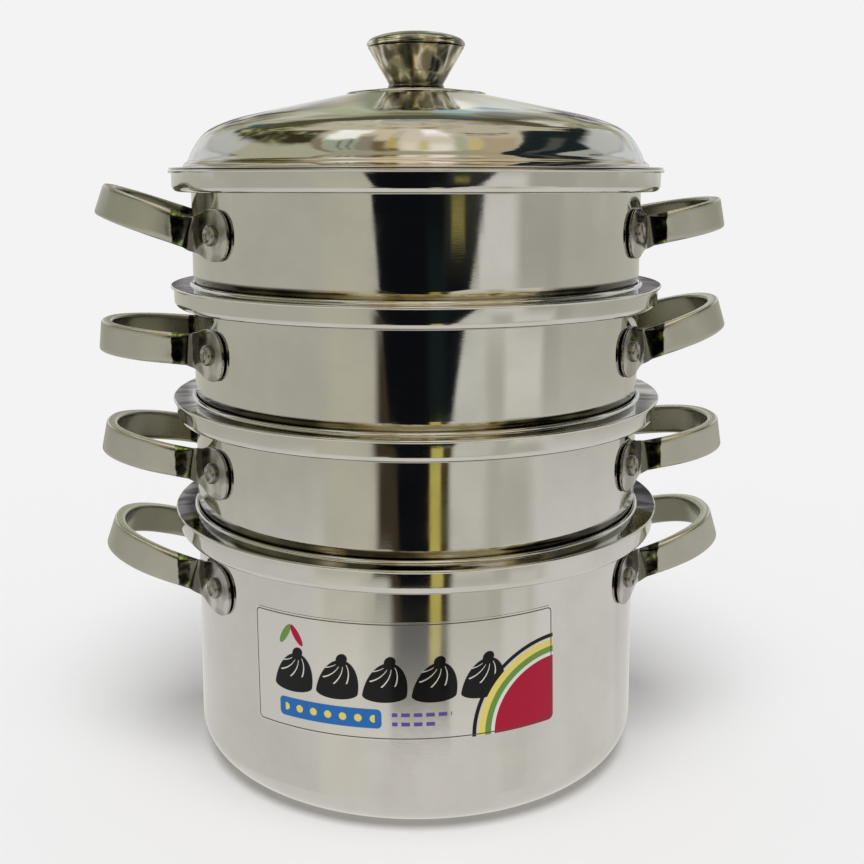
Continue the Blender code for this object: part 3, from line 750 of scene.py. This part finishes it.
def handle_stations():
    """Stations along half a right-hand handle, from the ear's tip at the back to the strap's middle.

    Each is (place in plan, half height, tilt share): the share goes from 0 on the ear to 1 on the strap.
    """
    outward = Vector((math.cos(RIVET_ANGLE), math.sin(RIVET_ANGLE)))
    along = Vector((-math.sin(RIVET_ANGLE), math.cos(RIVET_ANGLE)))
    rivet = outward * (EAR_SEAT + EAR_THICKNESS / 2.0)
    root = rivet + along * ((HANDLE_HALF_SPAN - rivet.y) / along.y)
    outside = Vector((root.x + HANDLE_REACH, root.y))
    bend = filleted(rivet, root, outside, STRAP_ROOT_BEND, 10)
    ear_half = EAR_HEIGHT / 2.0
    strap_half = STRAP_HEIGHT / 2.0
    neck_half = ear_half * EAR_NECK
    stations = []
    for step in range(EAR_STEPS):
        share = math.cos(math.pi / 2.0 * step / EAR_STEPS)
        height = ear_half * max(0.04, (1.0 - share ** 3) ** (1.0 / 2.4))
        bend_back = outward * (EAR_TIP_BEND * share * share)
        stations.append((rivet + along * EAR_TIP * share - bend_back, height, 0.0))
    for step in range(EAR_STEPS):
        share = step / EAR_STEPS
        height = ear_half + (neck_half - ear_half) * ease_between(share, 0.1, 1.0)
        stations.append((rivet.lerp(bend[0], share), height, 0.0))
    for step, place in enumerate(bend):
        share = step / (len(bend) - 1)
        stations.append((place, neck_half + (strap_half - neck_half) * share, share))
    first = (1.2 * (bend[-1].x - root.x) / HANDLE_REACH) ** (1.0 / LOOP_ROUNDING)
    for step in range(LOOP_STEPS + 1):
        angle = first + (math.pi / 2.0 - first) * step / LOOP_STEPS
        reach = HANDLE_REACH * math.sin(angle) ** LOOP_ROUNDING
        span = HANDLE_HALF_SPAN * max(0.0, math.cos(angle)) ** LOOP_ROUNDING
        stations.append((Vector((root.x + reach, span)), strap_half, 1.0))
    return root, stations


def tilted(place, root, share, full_tilt):
    """A station's place once the loop is bent up about the line of its roots, and its height direction."""
    tilt = full_tilt * share
    past_root = max(0.0, place.x - root.x)
    spot = Vector((place.x, place.y, 0.0))
    if past_root > 0.0:
        spot.x = root.x + past_root * math.cos(full_tilt)
        spot.z = past_root * math.sin(full_tilt)
    return spot, Vector((-math.sin(tilt), 0.0, math.cos(tilt)))


def strap_ring(outer, inner, half_height, corner):
    """A strap's section as points (across, high), outer face first. across is positive away from the pot."""
    corner = min(corner, 0.49 * (outer + inner))
    face = half_height - corner
    levels = [face * (2.0 * step / FACE_STEPS - 1.0) for step in range(1, FACE_STEPS)]
    ring = [(outer, level) for level in levels]
    ring += arc((outer - corner, face), corner, 0.0, 90.0, CORNER_STEPS)
    ring += arc((corner - inner, face), corner, 90.0, 180.0, CORNER_STEPS)
    ring += [(-inner, -level) for level in levels]
    ring += arc((corner - inner, -face), corner, 180.0, 270.0, CORNER_STEPS)
    ring += arc((outer - corner, -face), corner, 270.0, 360.0, CORNER_STEPS)
    return ring


def outer_share(reach, high, lean):
    """How full the strap's outer face is, 0 on the flat ear and 1 on the strap. high goes from -1 to +1."""
    full_at = PINCH[1] + PINCH_BULGE * (1.0 - high * high) + lean * high
    return min(1.0, max(0.0, (reach - PINCH[0]) / (full_at - PINCH[0])))


def handle_mesh(name, full_tilt, lean):
    """Both halves of a handle as one lofted tube: flat ears, a pinched root, and the strap."""
    root, half = handle_stations()
    mirror = Vector((1.0, -1.0, 1.0))
    front = []
    for place, tall, share in half:
        spot, up = tilted(place, root, share, full_tilt)
        front.append((spot, up, tall, share, place.x - root.x))
    stations = front + [(spot * mirror, *rest) for spot, *rest in reversed(front[:-1])]
    flat = EAR_THICKNESS / 2.0
    full = STRAP_THICKNESS / 2.0
    bm = bmesh.new()
    uv = bm.loops.layers.uv.new("strap")
    spread = {}
    rings = []
    travelled = 0.0
    for index, (spot, up, tall, share, reach) in enumerate(stations):
        before = stations[max(index - 1, 0)][0]
        after = stations[min(index + 1, len(stations) - 1)][0]
        travelled += (spot - before).length
        along = (after - before).normalized()
        side = along.cross(up).normalized()
        height_way = side.cross(along)
        inner = flat + (full - flat) * ease_between(reach, 0.0, PINCH[1])
        edge = EAR_EDGE + (ROOT_EDGE - EAR_EDGE) * ease_between(reach, 0.0, PINCH[1])
        edge += (STRAP_EDGE - ROOT_EDGE) * ease_between(reach, PINCH[1], 3.0 * PINCH[1])
        ring = []
        for across, high in strap_ring(full, inner, tall, edge if share else EAR_EDGE):
            if across > 0.0:
                across *= (flat + (full - flat) * outer_share(reach, high / tall, lean)) / full
            vert = bm.verts.new(spot - side * across + height_way * high)
            spread[vert] = (travelled, high)
            ring.append(vert)
        rings.append(ring)
    for first, second in zip(rings, rings[1:]):
        bridge(bm, first, second)
    bm.faces.new(rings[0])
    bm.faces.new(rings[-1])
    map_points(bm, uv, spread)
    return mesh_object(name, bm, 40.0)


def make_handle(key, side_index, level, body, material):
    """side_index is 0 for the left handle and 1 for the right one."""
    node = key + "_handle_" + ("left", "right")[side_index]
    tilt = math.radians(HANDLE_TILTS[key][side_index])
    handle = handle_mesh(node + "_strap", tilt, PINCH_LEANS[key][side_index] * MM)
    half_turn = math.pi * (1 - side_index)
    turn = Matrix.Rotation(TIER_TURNS[key] + half_turn, 4, "Z")
    handle.data.transform(Matrix.Translation((0.0, 0.0, level - HANDLE_DROP)) @ turn)
    stand_for(handle, node, body, material)


def rivet_section():
    """Half section of a rivet along its own axis, from the domed head outside to the tail inside the wall."""
    face = EAR_SEAT + EAR_THICKNESS - 0.05 * MM
    tail = WALL_INSIDE + 0.05 * MM
    head = [(across * RIVET_RADIUS, face + high * RIVET_HEIGHT) for across, high in RIVET_HEAD]
    tail_points = [
        (RIVET_TAIL_RADIUS, tail),
        (RIVET_TAIL_RADIUS, tail - 0.6 * RIVET_TAIL_HEIGHT),
        (0.8 * RIVET_TAIL_RADIUS, tail - RIVET_TAIL_HEIGHT),
        (0.0, tail - RIVET_TAIL_HEIGHT),
    ]
    return head + tail_points


def make_rivets(key, level, body, material):
    for side_name, side in (("left", -1), ("right", 1)):
        for end_name, end in (("front", -1), ("back", 1)):
            node = key + "_rivet_" + side_name + "_" + end_name
            rivet = lathe(node + "_head", rivet_section(), closed=False, segments=40)
            outward = Vector((side * math.cos(RIVET_ANGLE), end * math.sin(RIVET_ANGLE), 0.0))
            tipward = Vector((-side * math.sin(RIVET_ANGLE), end * math.cos(RIVET_ANGLE), 0.0))
            rotation = Matrix((tipward.cross(outward), tipward, outward)).transposed().to_4x4()
            place = Matrix.Translation((0.0, 0.0, level - HANDLE_DROP))
            rivet.data.transform(Matrix.Rotation(TIER_TURNS[key], 4, "Z") @ place @ rotation)
            stand_for(rivet, node, body, material)


# Lid and knob


def in_metres(points, level=0.0):
    return [(r * MM, z * MM + level) for r, z in points]


def lid_section(level):
    """The lid's outer face over the rim plane, then the same line moved in by the sheet's thickness."""
    top = LID_GAP + SHEET
    line = LID_FOOT + smooth_line(LID_SIDE, 6) + smooth_line(LID_DOME, 10)
    line += smooth_line(LID_CENTRE, 3) + LID_TOP
    top_points = in_metres(reversed(line)) + [(114.9 * MM, top), (118.0 * MM, top)]
    outer = top_points + arc((FLANGE_RADIUS - SHEET / 2.0, top - SHEET / 2.0), SHEET / 2.0, 90.0, -90.0, 6)
    inner = []
    for index, (r, z) in enumerate(top_points):
        before = Vector(top_points[max(index - 1, 0)])
        after = Vector(top_points[min(index + 1, len(top_points) - 1)])
        way = (after - before).normalized()
        inner.append((r + way.y * SHEET, max(z - way.x * SHEET, LID_GAP)))
    return [(r, z + level) for r, z in outer + inner[::-1]]


def knob_cup_section(level):
    """The flared cup: a small foot bead with the screw's hole, a straight cone and a thin mouth."""
    cone = []
    for share in (0.25, 0.5, 0.75, 1.0):
        cone.append([a + (b - a) * share for a, b in zip(CUP_FOOT[-1], CUP_MOUTH)])
    inner = [(23.8, 19.7), (22.9, 19.7), (12.6, 2.2), (12.0, 0.9), (2.7, 0.9)]
    return in_metres((CUP_FOOT + cone + inner)[::-1], level)


def knob_cap_section(level):
    """The cap: a low dome with a rolled rim, closed underneath."""
    dome = [(r, 0.9 + 5.7 * math.sqrt(max(0.0, 1.0 - (r / 24.0) ** 2.1))) for r in CAP_RADII]
    rim = [(24.0, 1.5), (24.3, 0.7), (24.2, 0.0), (23.8, -0.6), (23.2, -0.8), (22.6, -0.8)]
    return in_metres([(0.0, CAP_HEIGHT)] + dome + rim + [(20.0, 1.6), (12.0, 4.2), (0.0, 5.3)], level)


def make_lid(body, lid_steel, knob_steel):
    lid = lathe("lid_shell", lid_section(rim_level("tier_3")))
    weighted_normals(lid)
    stand_for(lid, "lid", body, lid_steel)
    cup_section = knob_cup_section(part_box("lid_knob_cup")[0].z)
    cup = lathe("lid_knob_cup_shell", cup_section, segments=KNOB_SEGMENTS)
    stand_for(cup, "lid_knob_cup", body, knob_steel)
    cap_section = knob_cap_section(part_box("lid_knob_cap")[1].z - CAP_HEIGHT * MM)
    cap = lathe("lid_knob_cap_shell", cap_section, closed=False, segments=KNOB_SEGMENTS)
    stand_for(cap, "lid_knob_cap", body, knob_steel)


# Label


def label_rows():
    """Heights of the label's rows with the half width of each, which shrinks round the corners."""
    corner_across = LABEL_ARC / 2.0 - LABEL_CORNER
    straight = LABEL_HEIGHT / 2.0 - LABEL_CORNER
    below = arc((corner_across, -straight), LABEL_CORNER, -90.0, 0.0, 6)
    above = arc((corner_across, straight), LABEL_CORNER, 0.0, 90.0, 6)
    rows = [(high, across) for across, high in below]
    for step in range(1, LABEL_ROWS):
        rows.append((-straight + 2.0 * straight * step / LABEL_ROWS, LABEL_ARC / 2.0))
    return rows + [(high, across) for across, high in above]


def label_point(across, high, radius):
    """A point of the flat label, tilted and wrapped on the wall at this radius."""
    u = across * math.cos(LABEL_TILT) - high * math.sin(LABEL_TILT)
    v = across * math.sin(LABEL_TILT) + high * math.cos(LABEL_TILT)
    angle = LABEL_ANGLE + u / BODY_RADIUS
    return (radius * math.sin(angle), -radius * math.cos(angle), LABEL_CENTRE_HEIGHT + v)


def grid_border(grid):
    """The points round a grid, in order."""
    right = [line[-1] for line in grid[1:]]
    left = [line[0] for line in grid[-2:0:-1]]
    return grid[0] + right + grid[-1][-2::-1] + left


def make_label(body, material):
    bm = bmesh.new()
    uv = bm.loops.layers.uv.new("label")
    inner = BODY_RADIUS + LABEL_LIFT
    sheets = []
    flat = {}
    for radius in (inner + LABEL_THICKNESS, inner):
        grid = []
        for high, half_width in label_rows():
            line = []
            for column in range(LABEL_COLUMNS + 1):
                across = half_width * (2.0 * column / LABEL_COLUMNS - 1.0)
                vert = bm.verts.new(label_point(across, high, radius))
                flat[vert] = (across / LABEL_ARC + 0.5, high / LABEL_HEIGHT + 0.5)
                line.append(vert)
            grid.append(line)
        sheets.append(grid)
    for grid in sheets:
        for low, high in zip(grid, grid[1:]):
            for column in range(LABEL_COLUMNS):
                bm.faces.new((low[column], low[column + 1], high[column + 1], high[column]))
    bridge(bm, *(grid_border(grid) for grid in sheets))
    map_points(bm, uv, flat)
    label = mesh_object("front_label_print", bm, 50.0)
    stand_for(label, "front_label", body, material)


class Print:
    """Inks on the label's clear film. Places are in millimetres from its lower left corner."""

    def __init__(self, shader):
        self.shader = shader
        u, v, _ = shader.separate(shader.node("ShaderNodeUVMap", uv_map="label").outputs[0])
        self.x = u * (LABEL_ARC / MM)
        self.y = v * (LABEL_HEIGHT / MM)
        self.painted = FILM_TONE
        self.ink = 0.0

    def from_point(self, x, y, place=None):
        place = place or self.shader.combine(self.x, self.y)
        return self.shader.vector("DISTANCE", place, (x, y, 0.0))

    def from_box(self, x, y, half_width, half_height, corner):
        """Distance from a box with round corners, under 0 inside it."""
        vector = self.shader.vector
        away = vector("ABSOLUTE", vector("SUBTRACT", self.shader.combine(self.x, self.y), (x, y, 0.0)))
        away = vector("SUBTRACT", away, (half_width - corner, half_height - corner, 0.0))
        return vector("LENGTH", vector("MAXIMUM", away)) - corner

    def inside(self, distance, edge=0.0):
        return self.shader.ease(distance, edge + INK_EDGE, edge - INK_EDGE)

    def between(self, distance, low, high):
        return self.inside(distance, high) * self.shader.ease(distance, low - INK_EDGE, low + INK_EDGE)

    def put(self, mask, paint, ink=1.0):
        """Prints paint where the mask is 1. ink 0 clears the film again."""
        self.painted = self.shader.mix(mask, self.painted, paint)
        self.ink = mask * self.shader.math("SUBTRACT", ink, self.ink) + self.ink


def print_dumplings(label):
    """A row of pleated dumplings, slanted a little."""
    shader = label.shader
    up = label.y - DUMPLING_ROW[1]
    slanted = up * -0.18 + (label.x - DUMPLING_ROW[0])
    shifted = slanted + DUMPLING_PITCH * (DUMPLING_COUNT % 2) / 2.0
    across = shader.math("WRAP", shifted, DUMPLING_PITCH) - DUMPLING_PITCH / 2.0
    in_row = label.inside(abs(slanted), DUMPLING_PITCH * DUMPLING_COUNT / 2.0)
    bent_up = shader.math("MAXIMUM", up * 0.66, up * -3.0)
    body = label.inside(label.from_point(0.0, 0.0, shader.combine(across, bent_up)), 9.8)
    to_knot = label.from_point(0.0, KNOT_HEIGHT, shader.combine(across, up))
    label.put(in_row * shader.math("MAXIMUM", body, label.inside(to_knot, 2.6)), BLACK)
    twisted = to_knot * 0.06 + shader.math("ARCTAN2", across, KNOT_HEIGHT - up)
    thin = shader.ease(abs(shader.math("SINE", twisted * 6.0)), 0.26, 0.14)
    label.put(thin * body * label.between(to_knot, 3.4, 11.5) * in_row, WHITE, 0.5)


def print_marks(label):
    """Rings in one corner, a dotted bar, dashes, two leaves and a line along the border."""
    shader = label.shader
    corner = label.from_point(LABEL_ARC / MM, 0.0)
    label.put(label.inside(corner, 30.0), CRIMSON)
    for low, high, paint in CORNER_RINGS:
        label.put(label.between(corner, low, high), paint)
    label.put(label.inside(label.from_box(*BAR_CENTRE, 24.5, 4.4, 2.2)), BLUE)
    dot_place = shader.combine(shader.math("WRAP", label.x, 7.0) - 3.0, label.y)
    dots = label.inside(label.from_point(0.0, BAR_CENTRE[1], dot_place), 1.7)
    label.put(dots * label.inside(label.from_box(*BAR_CENTRE, 21.5, 3.0, 0.5)), YELLOW)
    for level, right in ((11.8, 93.0), (7.6, 86.0)):
        dash = abs(shader.math("WRAP", label.x, 5.4) - 2.7)
        row = label.from_box(0.5 * (DASH_START + right), level, 0.5 * (right - DASH_START), 0.9, 0.3)
        label.put(label.inside(dash, 1.9) * label.inside(row), PURPLE)
    for x, lean, paint in ((17.5, 0.55, GREEN), (23.5, -0.55, CRIMSON)):
        rise = label.y - LEAF_HEIGHT
        away = (label.x - (rise * lean + x)) * 2.4
        label.put(label.inside(label.from_point(0.0, 0.0, shader.combine(away, rise)), 4.6), paint)
    width = LABEL_ARC / MM / 2.0
    height = LABEL_HEIGHT / MM / 2.0
    border = label.from_box(width, height, width - 0.7, height - 0.7, 2.2)
    label.put(label.between(border, -0.5, 0.0), BORDER_INK)


def label_material():
    """Clear silver film with printed inks: the steel shows through it, a little milky."""
    material, shader, surface = new_material("label_film_print")
    label = Print(shader)
    print_dumplings(label)
    print_marks(label)
    wrinkle = shader.noise(shader.coordinates(), 60.0, 3.0)
    shader.feed(surface, {
        "Base Color": label.painted,
        "Metallic": label.ink * -0.78 + 0.80,
        "Roughness": wrinkle * 0.10 + 0.04,
        "Specular IOR Level": 0.2,
        "Normal": shader.bump(wrinkle, 0.00005),
    })
    return material


# Stage: camera, floor, lamp and the room that the steel mirrors


def make_camera():
    data = bpy.data.cameras.new("photo_camera")
    data.sensor_width = SENSOR_WIDTH
    data.lens = FOCAL_PIXELS / FRAME_PIXELS * SENSOR_WIDTH
    data.shift_x = 0.5 - AXIS_PIXEL[0] / FRAME_PIXELS
    data.shift_y = AXIS_PIXEL[1] / FRAME_PIXELS - 0.5
    data.clip_start = 10.0 * MM
    camera = bpy.data.objects.new("photo_camera", data)
    camera.location = (
        CAMERA_DISTANCE * math.sin(CAMERA_AZIMUTH),
        -CAMERA_DISTANCE * math.cos(CAMERA_AZIMUTH),
        CAMERA_HEIGHT,
    )
    camera.rotation_euler = (math.pi / 2.0 - CAMERA_PITCH, 0.0, CAMERA_AZIMUTH)
    bpy.context.scene.collection.objects.link(camera)
    bpy.context.scene.camera = camera


def make_floor():
    bm = bmesh.new()
    bmesh.ops.create_grid(bm, x_segments=1, y_segments=1, size=FLOOR_SIZE)
    floor = mesh_object("floor", bm)
    floor.location.z = FLOOR_LEVEL
    material, shader, surface = new_material("floor_pale")
    shader.feed(surface, {"Base Color": BACKGROUND, "Roughness": 0.9, "Specular IOR Level": 0.0})
    floor.data.materials.append(material)
    floor.visible_glossy = False


def seen_in_steel(paint):
    """The linear colour of the room for which the steel shows this sRGB colour, each channel 0-255."""
    channels = []
    for value, tone in zip(paint, STEEL_TONE):
        share = value / 255.0
        plain = share / 12.92 if share <= 0.04045 else ((share + 0.055) / 1.055) ** 2.4
        channels.append(plain / tone)
    return channels


class Room:
    """The room round the pots, painted by direction. Angles are in degrees, colours as the steel shows them.

    across is the azimuth to the right, measured from the camera's side for the front half and from the point
    straight behind the pots for the back half. up is the elevation.
    """

    def __init__(self, shader):
        self.shader = shader
        turn = shader.node("ShaderNodeVectorRotate", rotation_type="Z_AXIS")
        shader.feed(turn, {"Vector": shader.coordinates("Generated"), "Angle": -CAMERA_AZIMUTH})
        self.way = turn.outputs[0]
        x, y, z = shader.separate(self.way)
        degree = math.degrees(1.0)
        self.across = shader.math("ARCTAN2", x, y * -1.0) * degree
        self.across_back = shader.math("ARCTAN2", x, y) * degree
        self.up = shader.math("ARCSINE", z) * degree
        self.painted = seen_in_steel(ROOM_TONE)

    def put(self, mask, paint):
        self.painted = self.shader.mix(mask, self.painted, paint)

    def shade(self, low, high, paint):
        """Fades to the paint from elevation low to elevation high."""
        self.put(self.shader.ease(self.up, low, high), seen_in_steel(paint))

    def inside(self, left, right, low, high, soft, leans=(0.0, 0.0)):
        """1 in a patch with soft edges. leans move its left and right edge per degree up."""
        least = self.shader.least
        left_edge = self.up * leans[0] + left
        right_edge = self.up * leans[1] + right
        sideways = least(self.across - left_edge, right_edge - self.across)
        return self.shader.ease(least(sideways, least(self.up - low, high - self.up)), -soft, soft)

    def panel(self, left, right, low, high, paint, soft=1.5, leans=(0.0, 0.0)):
        self.put(self.inside(left, right, low, high, soft, leans), seen_in_steel(paint))

    def clutter(self, left, right, low, high, scale, paints, soft=2.0, share=1.0):
        """Fills a patch with irregular blots: paints are (noise level from which it starts, colour)."""
        shown = [(place, seen_in_steel(paint)) for place, paint in paints]
        blots = self.shader.ramp(self.shader.noise(self.way, scale, 2.0, 0.6), shown)
        self.put(self.inside(left, right, low, high, soft) * share, blots)

    def bend(self):
        """Later patches lie as the lid's side mirrors them: up is its height there, and across its turn."""
        self.up = self.across ** 2.0 * SIDE_BOW + self.up
        spread = self.up * SIDE_SPREAD + (1.0 - SIDE_SPREAD * SIDE_MIDDLE)
        self.across = self.across / self.shader.math("MAXIMUM", spread, 0.2)

    def warp(self, amount, scale):
        """Makes the edges of all later patches wander by up to amount degrees."""
        wander = self.shader.node("ShaderNodeTexNoise")
        self.shader.feed(wander, {"Vector": self.way, "Scale": scale})
        sideways, upwards, _ = self.shader.separate(wander.outputs["Color"])
        self.across = self.across + (sideways * (2.0 * amount) + -amount)
        self.up = self.up + (upwards * (2.0 * amount) + -amount)


def paint_front(room):
    """A dark patch in front of the pots, with a gold strip beside it and brighter patches to its right."""
    panel = room.panel
    black = (11, 12, 15)
    brown = (52, 44, 32)
    room.shade(-21.0, -28.0, (192, 188, 180))
    panel(30, 52, -7, 1, (192, 188, 180), 3.0)
    panel(50, 75, -13, 4, (154, 151, 140), 4.0)
    panel(14, 34, -13, -7, (182, 181, 170), 3.0)
    panel(44, 64, -13, -7, (193, 189, 178), 3.0)
    panel(12, 34, -20, -13, (182, 179, 167), 4.0)
    panel(60, 130, -34, -13, (190, 187, 180), 6.0)
    panel(-200, -48, -40, -17, (183, 180, 173), 4.0)
    panel(130, 200, -40, -17, (183, 180, 173), 4.0)
    panel(44, 58, -34, -19, (186, 182, 173), 2.5)
    panel(66, 82, -34, -20, (193, 189, 183), 4.0)
    panel(-50, -26, -34, -19, (190, 186, 174), 6.0)
    panel(-44, -22, -20, -1, (170, 166, 148), 6.0)
    panel(-19, -7, -20, -7, brown, 2.2)
    panel(-12, 16, -26, -13, brown, 2.0)
    panel(-19.5, 31.0, -2, 16, black, 0.7, (0.55, -0.75))
    panel(-21.8, 33.7, -13, 2.2, black, 0.7, (-0.723, 1.338))
    panel(6, 14, -12, -3, (17, 26, 25), 2.5)
    panel(-13.0, 12.8, -24, -12, black, 1.0, (-0.25, 0.29))
    panel(14, 29, -4, 8, (40, 40, 34), 2.0)
    panel(17.0, 23.0, -3.0, -0.7, (120, 112, 60), 1.0)
    panel(6.8, 12.2, -24.5, -13.5, (168, 156, 80), 0.7)
    panel(12.2, 15.5, -19, -13.5, (60, 52, 28), 0.8)


def paint_ceiling(room):
    """What the lid's side and the seats show: pale and gold in front, and a large dark patch on the right."""
    panel = room.panel
    clutter = room.clutter
    room.shade(14, 30, (150, 145, 120))
    panel(-200, -34, 7, 27, (82, 76, 62), 3.0)
    panel(62, 200, 7, 27, (76, 75, 61), 3.0)
    clutter(-34, 62, 9, 28, 5.0, ((0.38, (120, 105, 52)), (0.5, (214, 204, 176)), (0.6, (150, 142, 96))), 4.0)
    room.shade(40, 60, (178, 170, 148))
    zenith = ((0.38, (128, 118, 86)), (0.48, (176, 166, 136)), (0.58, (206, 198, 184)))
    clutter(-200, 200, 80, 95, 7.0, zenith, 3.0, share=0.8)
    room.warp(4.0, 2.6)
    straight = (room.across, room.up)
    room.bend()
    room.warp(1.8, 12.0)
    panel(-150, -73, 36, 60, (162, 161, 136), 2.0)
    olive = ((0.46, (50, 46, 30)), (0.56, (88, 86, 58)), (0.66, (150, 146, 112)))
    clutter(-128, -72, 61, 82, 7.0, olive, 2.5)
    panel(-73, -66, 42, 68, (124, 112, 90), 2.5)
    panel(-66, -45, 66, 84, (232, 232, 222), 3.0)
    panel(-66, -45, 42, 67, (146, 152, 132), 1.5)
    for left in (-63, -57, -51):
        panel(left, left + 2, 47, 66, (104, 106, 90), 0.9, (0.1, 0.1))
    panel(-45, -23, 66, 86, (194, 180, 152), 3.0)
    panel(-45, -33, 45, 71, (132, 126, 108), 2.5)
    panel(-34, -23, 41, 63, (104, 86, 58), 2.5)
    panel(-22, -13, 42, 58, (112, 96, 44), 1.2)
    panel(-22, -13, 55, 68, (172, 154, 92), 1.5)
    panel(-13, 34, 42, 86, (200, 190, 170), 3.0)
    panel(-9, 0, 46, 62, (216, 204, 176), 3.0)
    panel(3, 9, 48, 65, (188, 172, 122), 2.5)
    panel(12, 27, 44, 60, (222, 213, 198), 3.5)
    panel(8, 28, 72, 84, (246, 236, 232), 4.0)
    panel(30, 39, 44, 71, (160, 163, 136), 3.0)
    panel(40, 50, 46, 67, (186, 172, 118), 2.0)
    panel(51, 72, 40, 68, (164, 149, 120), 3.0)
    panel(44, 70, 73, 78, (90, 76, 52), 1.5)
    panel(73, 124, 36, 79, (26, 34, 34), 1.5, (0.05, 0.0))
    panel(93, 103, 40, 65, (72, 72, 68), 2.5)
    panel(125, 150, 36, 66, (154, 155, 145), 2.0)
    clutter(120, 146, 66, 82, 9.0, ((0.42, (34, 34, 26)), (0.52, (72, 70, 58)), (0.62, (130, 130, 120))), 2.0)
    room.across, room.up = straight


def paint_back(room):
    """What the lid's dome and the rims' flats show: light grey low down, then olive, gold and teal."""
    panel = room.panel
    clutter = room.clutter
    room.across = room.across_back
    panel(-75, 75, 2, 20, (188, 189, 186), 4.0)
    panel(-70, 70, 20, 36, (172, 174, 166), 3.0)
    clutter(-34, 34, 12, 62, 3.4, (
        (0.36, (70, 66, 44)), (0.45, (140, 134, 104)), (0.53, (172, 170, 152)), (0.60, (196, 196, 188)),
        (0.66, (96, 128, 140)),
    ), 9.0, 0.8)
    greys = ((0.38, (52, 50, 48)), (0.5, (112, 110, 108)), (0.6, (180, 176, 168)))
    for left, right in ((-16.0, -8.5), (8.5, 16.0)):
        clutter(left, right, 1, 19, 16.0, greys, 1.5)
    panel(-4.5, 2, 14, 34, (118, 121, 99), 1.0)
    panel(-9, -4.5, 21, 34, (150, 155, 125), 1.2)
    panel(2.2, 4.6, 20, 26, (216, 213, 198), 0.8)
    panel(2, 7, 29, 37, (138, 168, 166), 1.2)
    panel(7, 13, 27, 36, (122, 125, 120), 1.5)
    panel(-46, -26, 33, 46, (66, 80, 76), 2.0)
    panel(-60, -40, 46, 52, (82, 78, 56), 2.0)
    panel(-22, -14, 44, 50, (196, 178, 96), 1.5)
    panel(-44, 46, 41, 55, (78, 75, 54), 2.0)
    clutter(-60, -38, 34, 58, 9.0, ((0.40, (58, 58, 38)), (0.52, (92, 92, 62)), (0.60, (150, 146, 104))), 3.0)
    panel(5, 12, 43, 48, (70, 96, 104), 1.5)
    panel(20, 34, 40, 46, (190, 186, 170), 1.5)


def make_world():
    """The steel mirrors the painted room. The camera sees a plain background, all else a plain light."""
    world = bpy.data.worlds.new("studio")
    world.use_nodes = True
    world.cycles.sampling_method = "NONE"
    bpy.context.scene.world = world
    world.node_tree.nodes.clear()
    shader = Shader(world.node_tree)
    room = Room(shader)
    paint_front(room)
    paint_ceiling(room)
    paint_back(room)
    path = shader.node("ShaderNodeLightPath")
    plain = shader.mix(path.outputs["Is Camera Ray"], [WORLD_SHARE] * 3, BACKGROUND)
    backgrounds = []
    for paint in (plain, room.painted):
        background = shader.node("ShaderNodeBackground")
        shader.feed(background, {"Color": paint})
        backgrounds.append(background.outputs[0])
    choice = shader.node("ShaderNodeMixShader")
    shader.fill(choice, (path.outputs["Is Glossy Ray"], *backgrounds))
    shader.join(choice.outputs[0], shader.node("ShaderNodeOutputWorld").inputs[0])


def make_key_light():
    """A soft lamp over the camera. The steel doesn't mirror it, and its shadow falls behind the pots."""
    data = bpy.data.lights.new("key", "SUN")
    data.energy = math.pi * (1.0 - WORLD_SHARE) / math.sin(KEY_ELEVATION)
    data.angle = KEY_SOFTNESS
    key = bpy.data.objects.new("key", data)
    key.rotation_euler = (math.pi / 2.0 - KEY_ELEVATION, 0.0, CAMERA_AZIMUTH)
    key.visible_glossy = False
    bpy.context.scene.collection.objects.link(key)


def main():
    make_camera()
    make_floor()
    make_world()
    make_key_light()
    handle_steel = handle_material("handle_satin")
    lid_steel = steel_material("lid_polish", STEEL_TONE, POLISH, mark_lid)
    rivet_steel = steel_material("rivet_satin", RIVET_TONE, RIVET_ROUGHNESS)
    knob_steel = steel_material("knob_polish", KNOB_TONE, KNOB_ROUGHNESS, mark_knob)
    bodies = {"base": "base", "tier_1": "tier_1_body", "tier_2": "tier_2_body", "tier_3": "tier_3_body"}
    for key, body in bodies.items():
        node = "base_pot" if key == "base" else key
        make_vessel(node, body, vessel_material(node))
        for side_index in (0, 1):
            make_handle(key, side_index, rim_level(node), body, handle_steel)
        make_rivets(key, rim_level(node), body, rivet_steel)
    make_lid("lid_body", lid_steel, knob_steel)
    make_label("base", label_material())
    for node in ("lid_knob_screw", "lid_knob_washer", "lid_knob_nut"):
        NODES[node].data.materials.clear()
        NODES[node].data.materials.append(rivet_steel)
    bpy.context.scene.view_settings.view_transform = "Standard"


main()
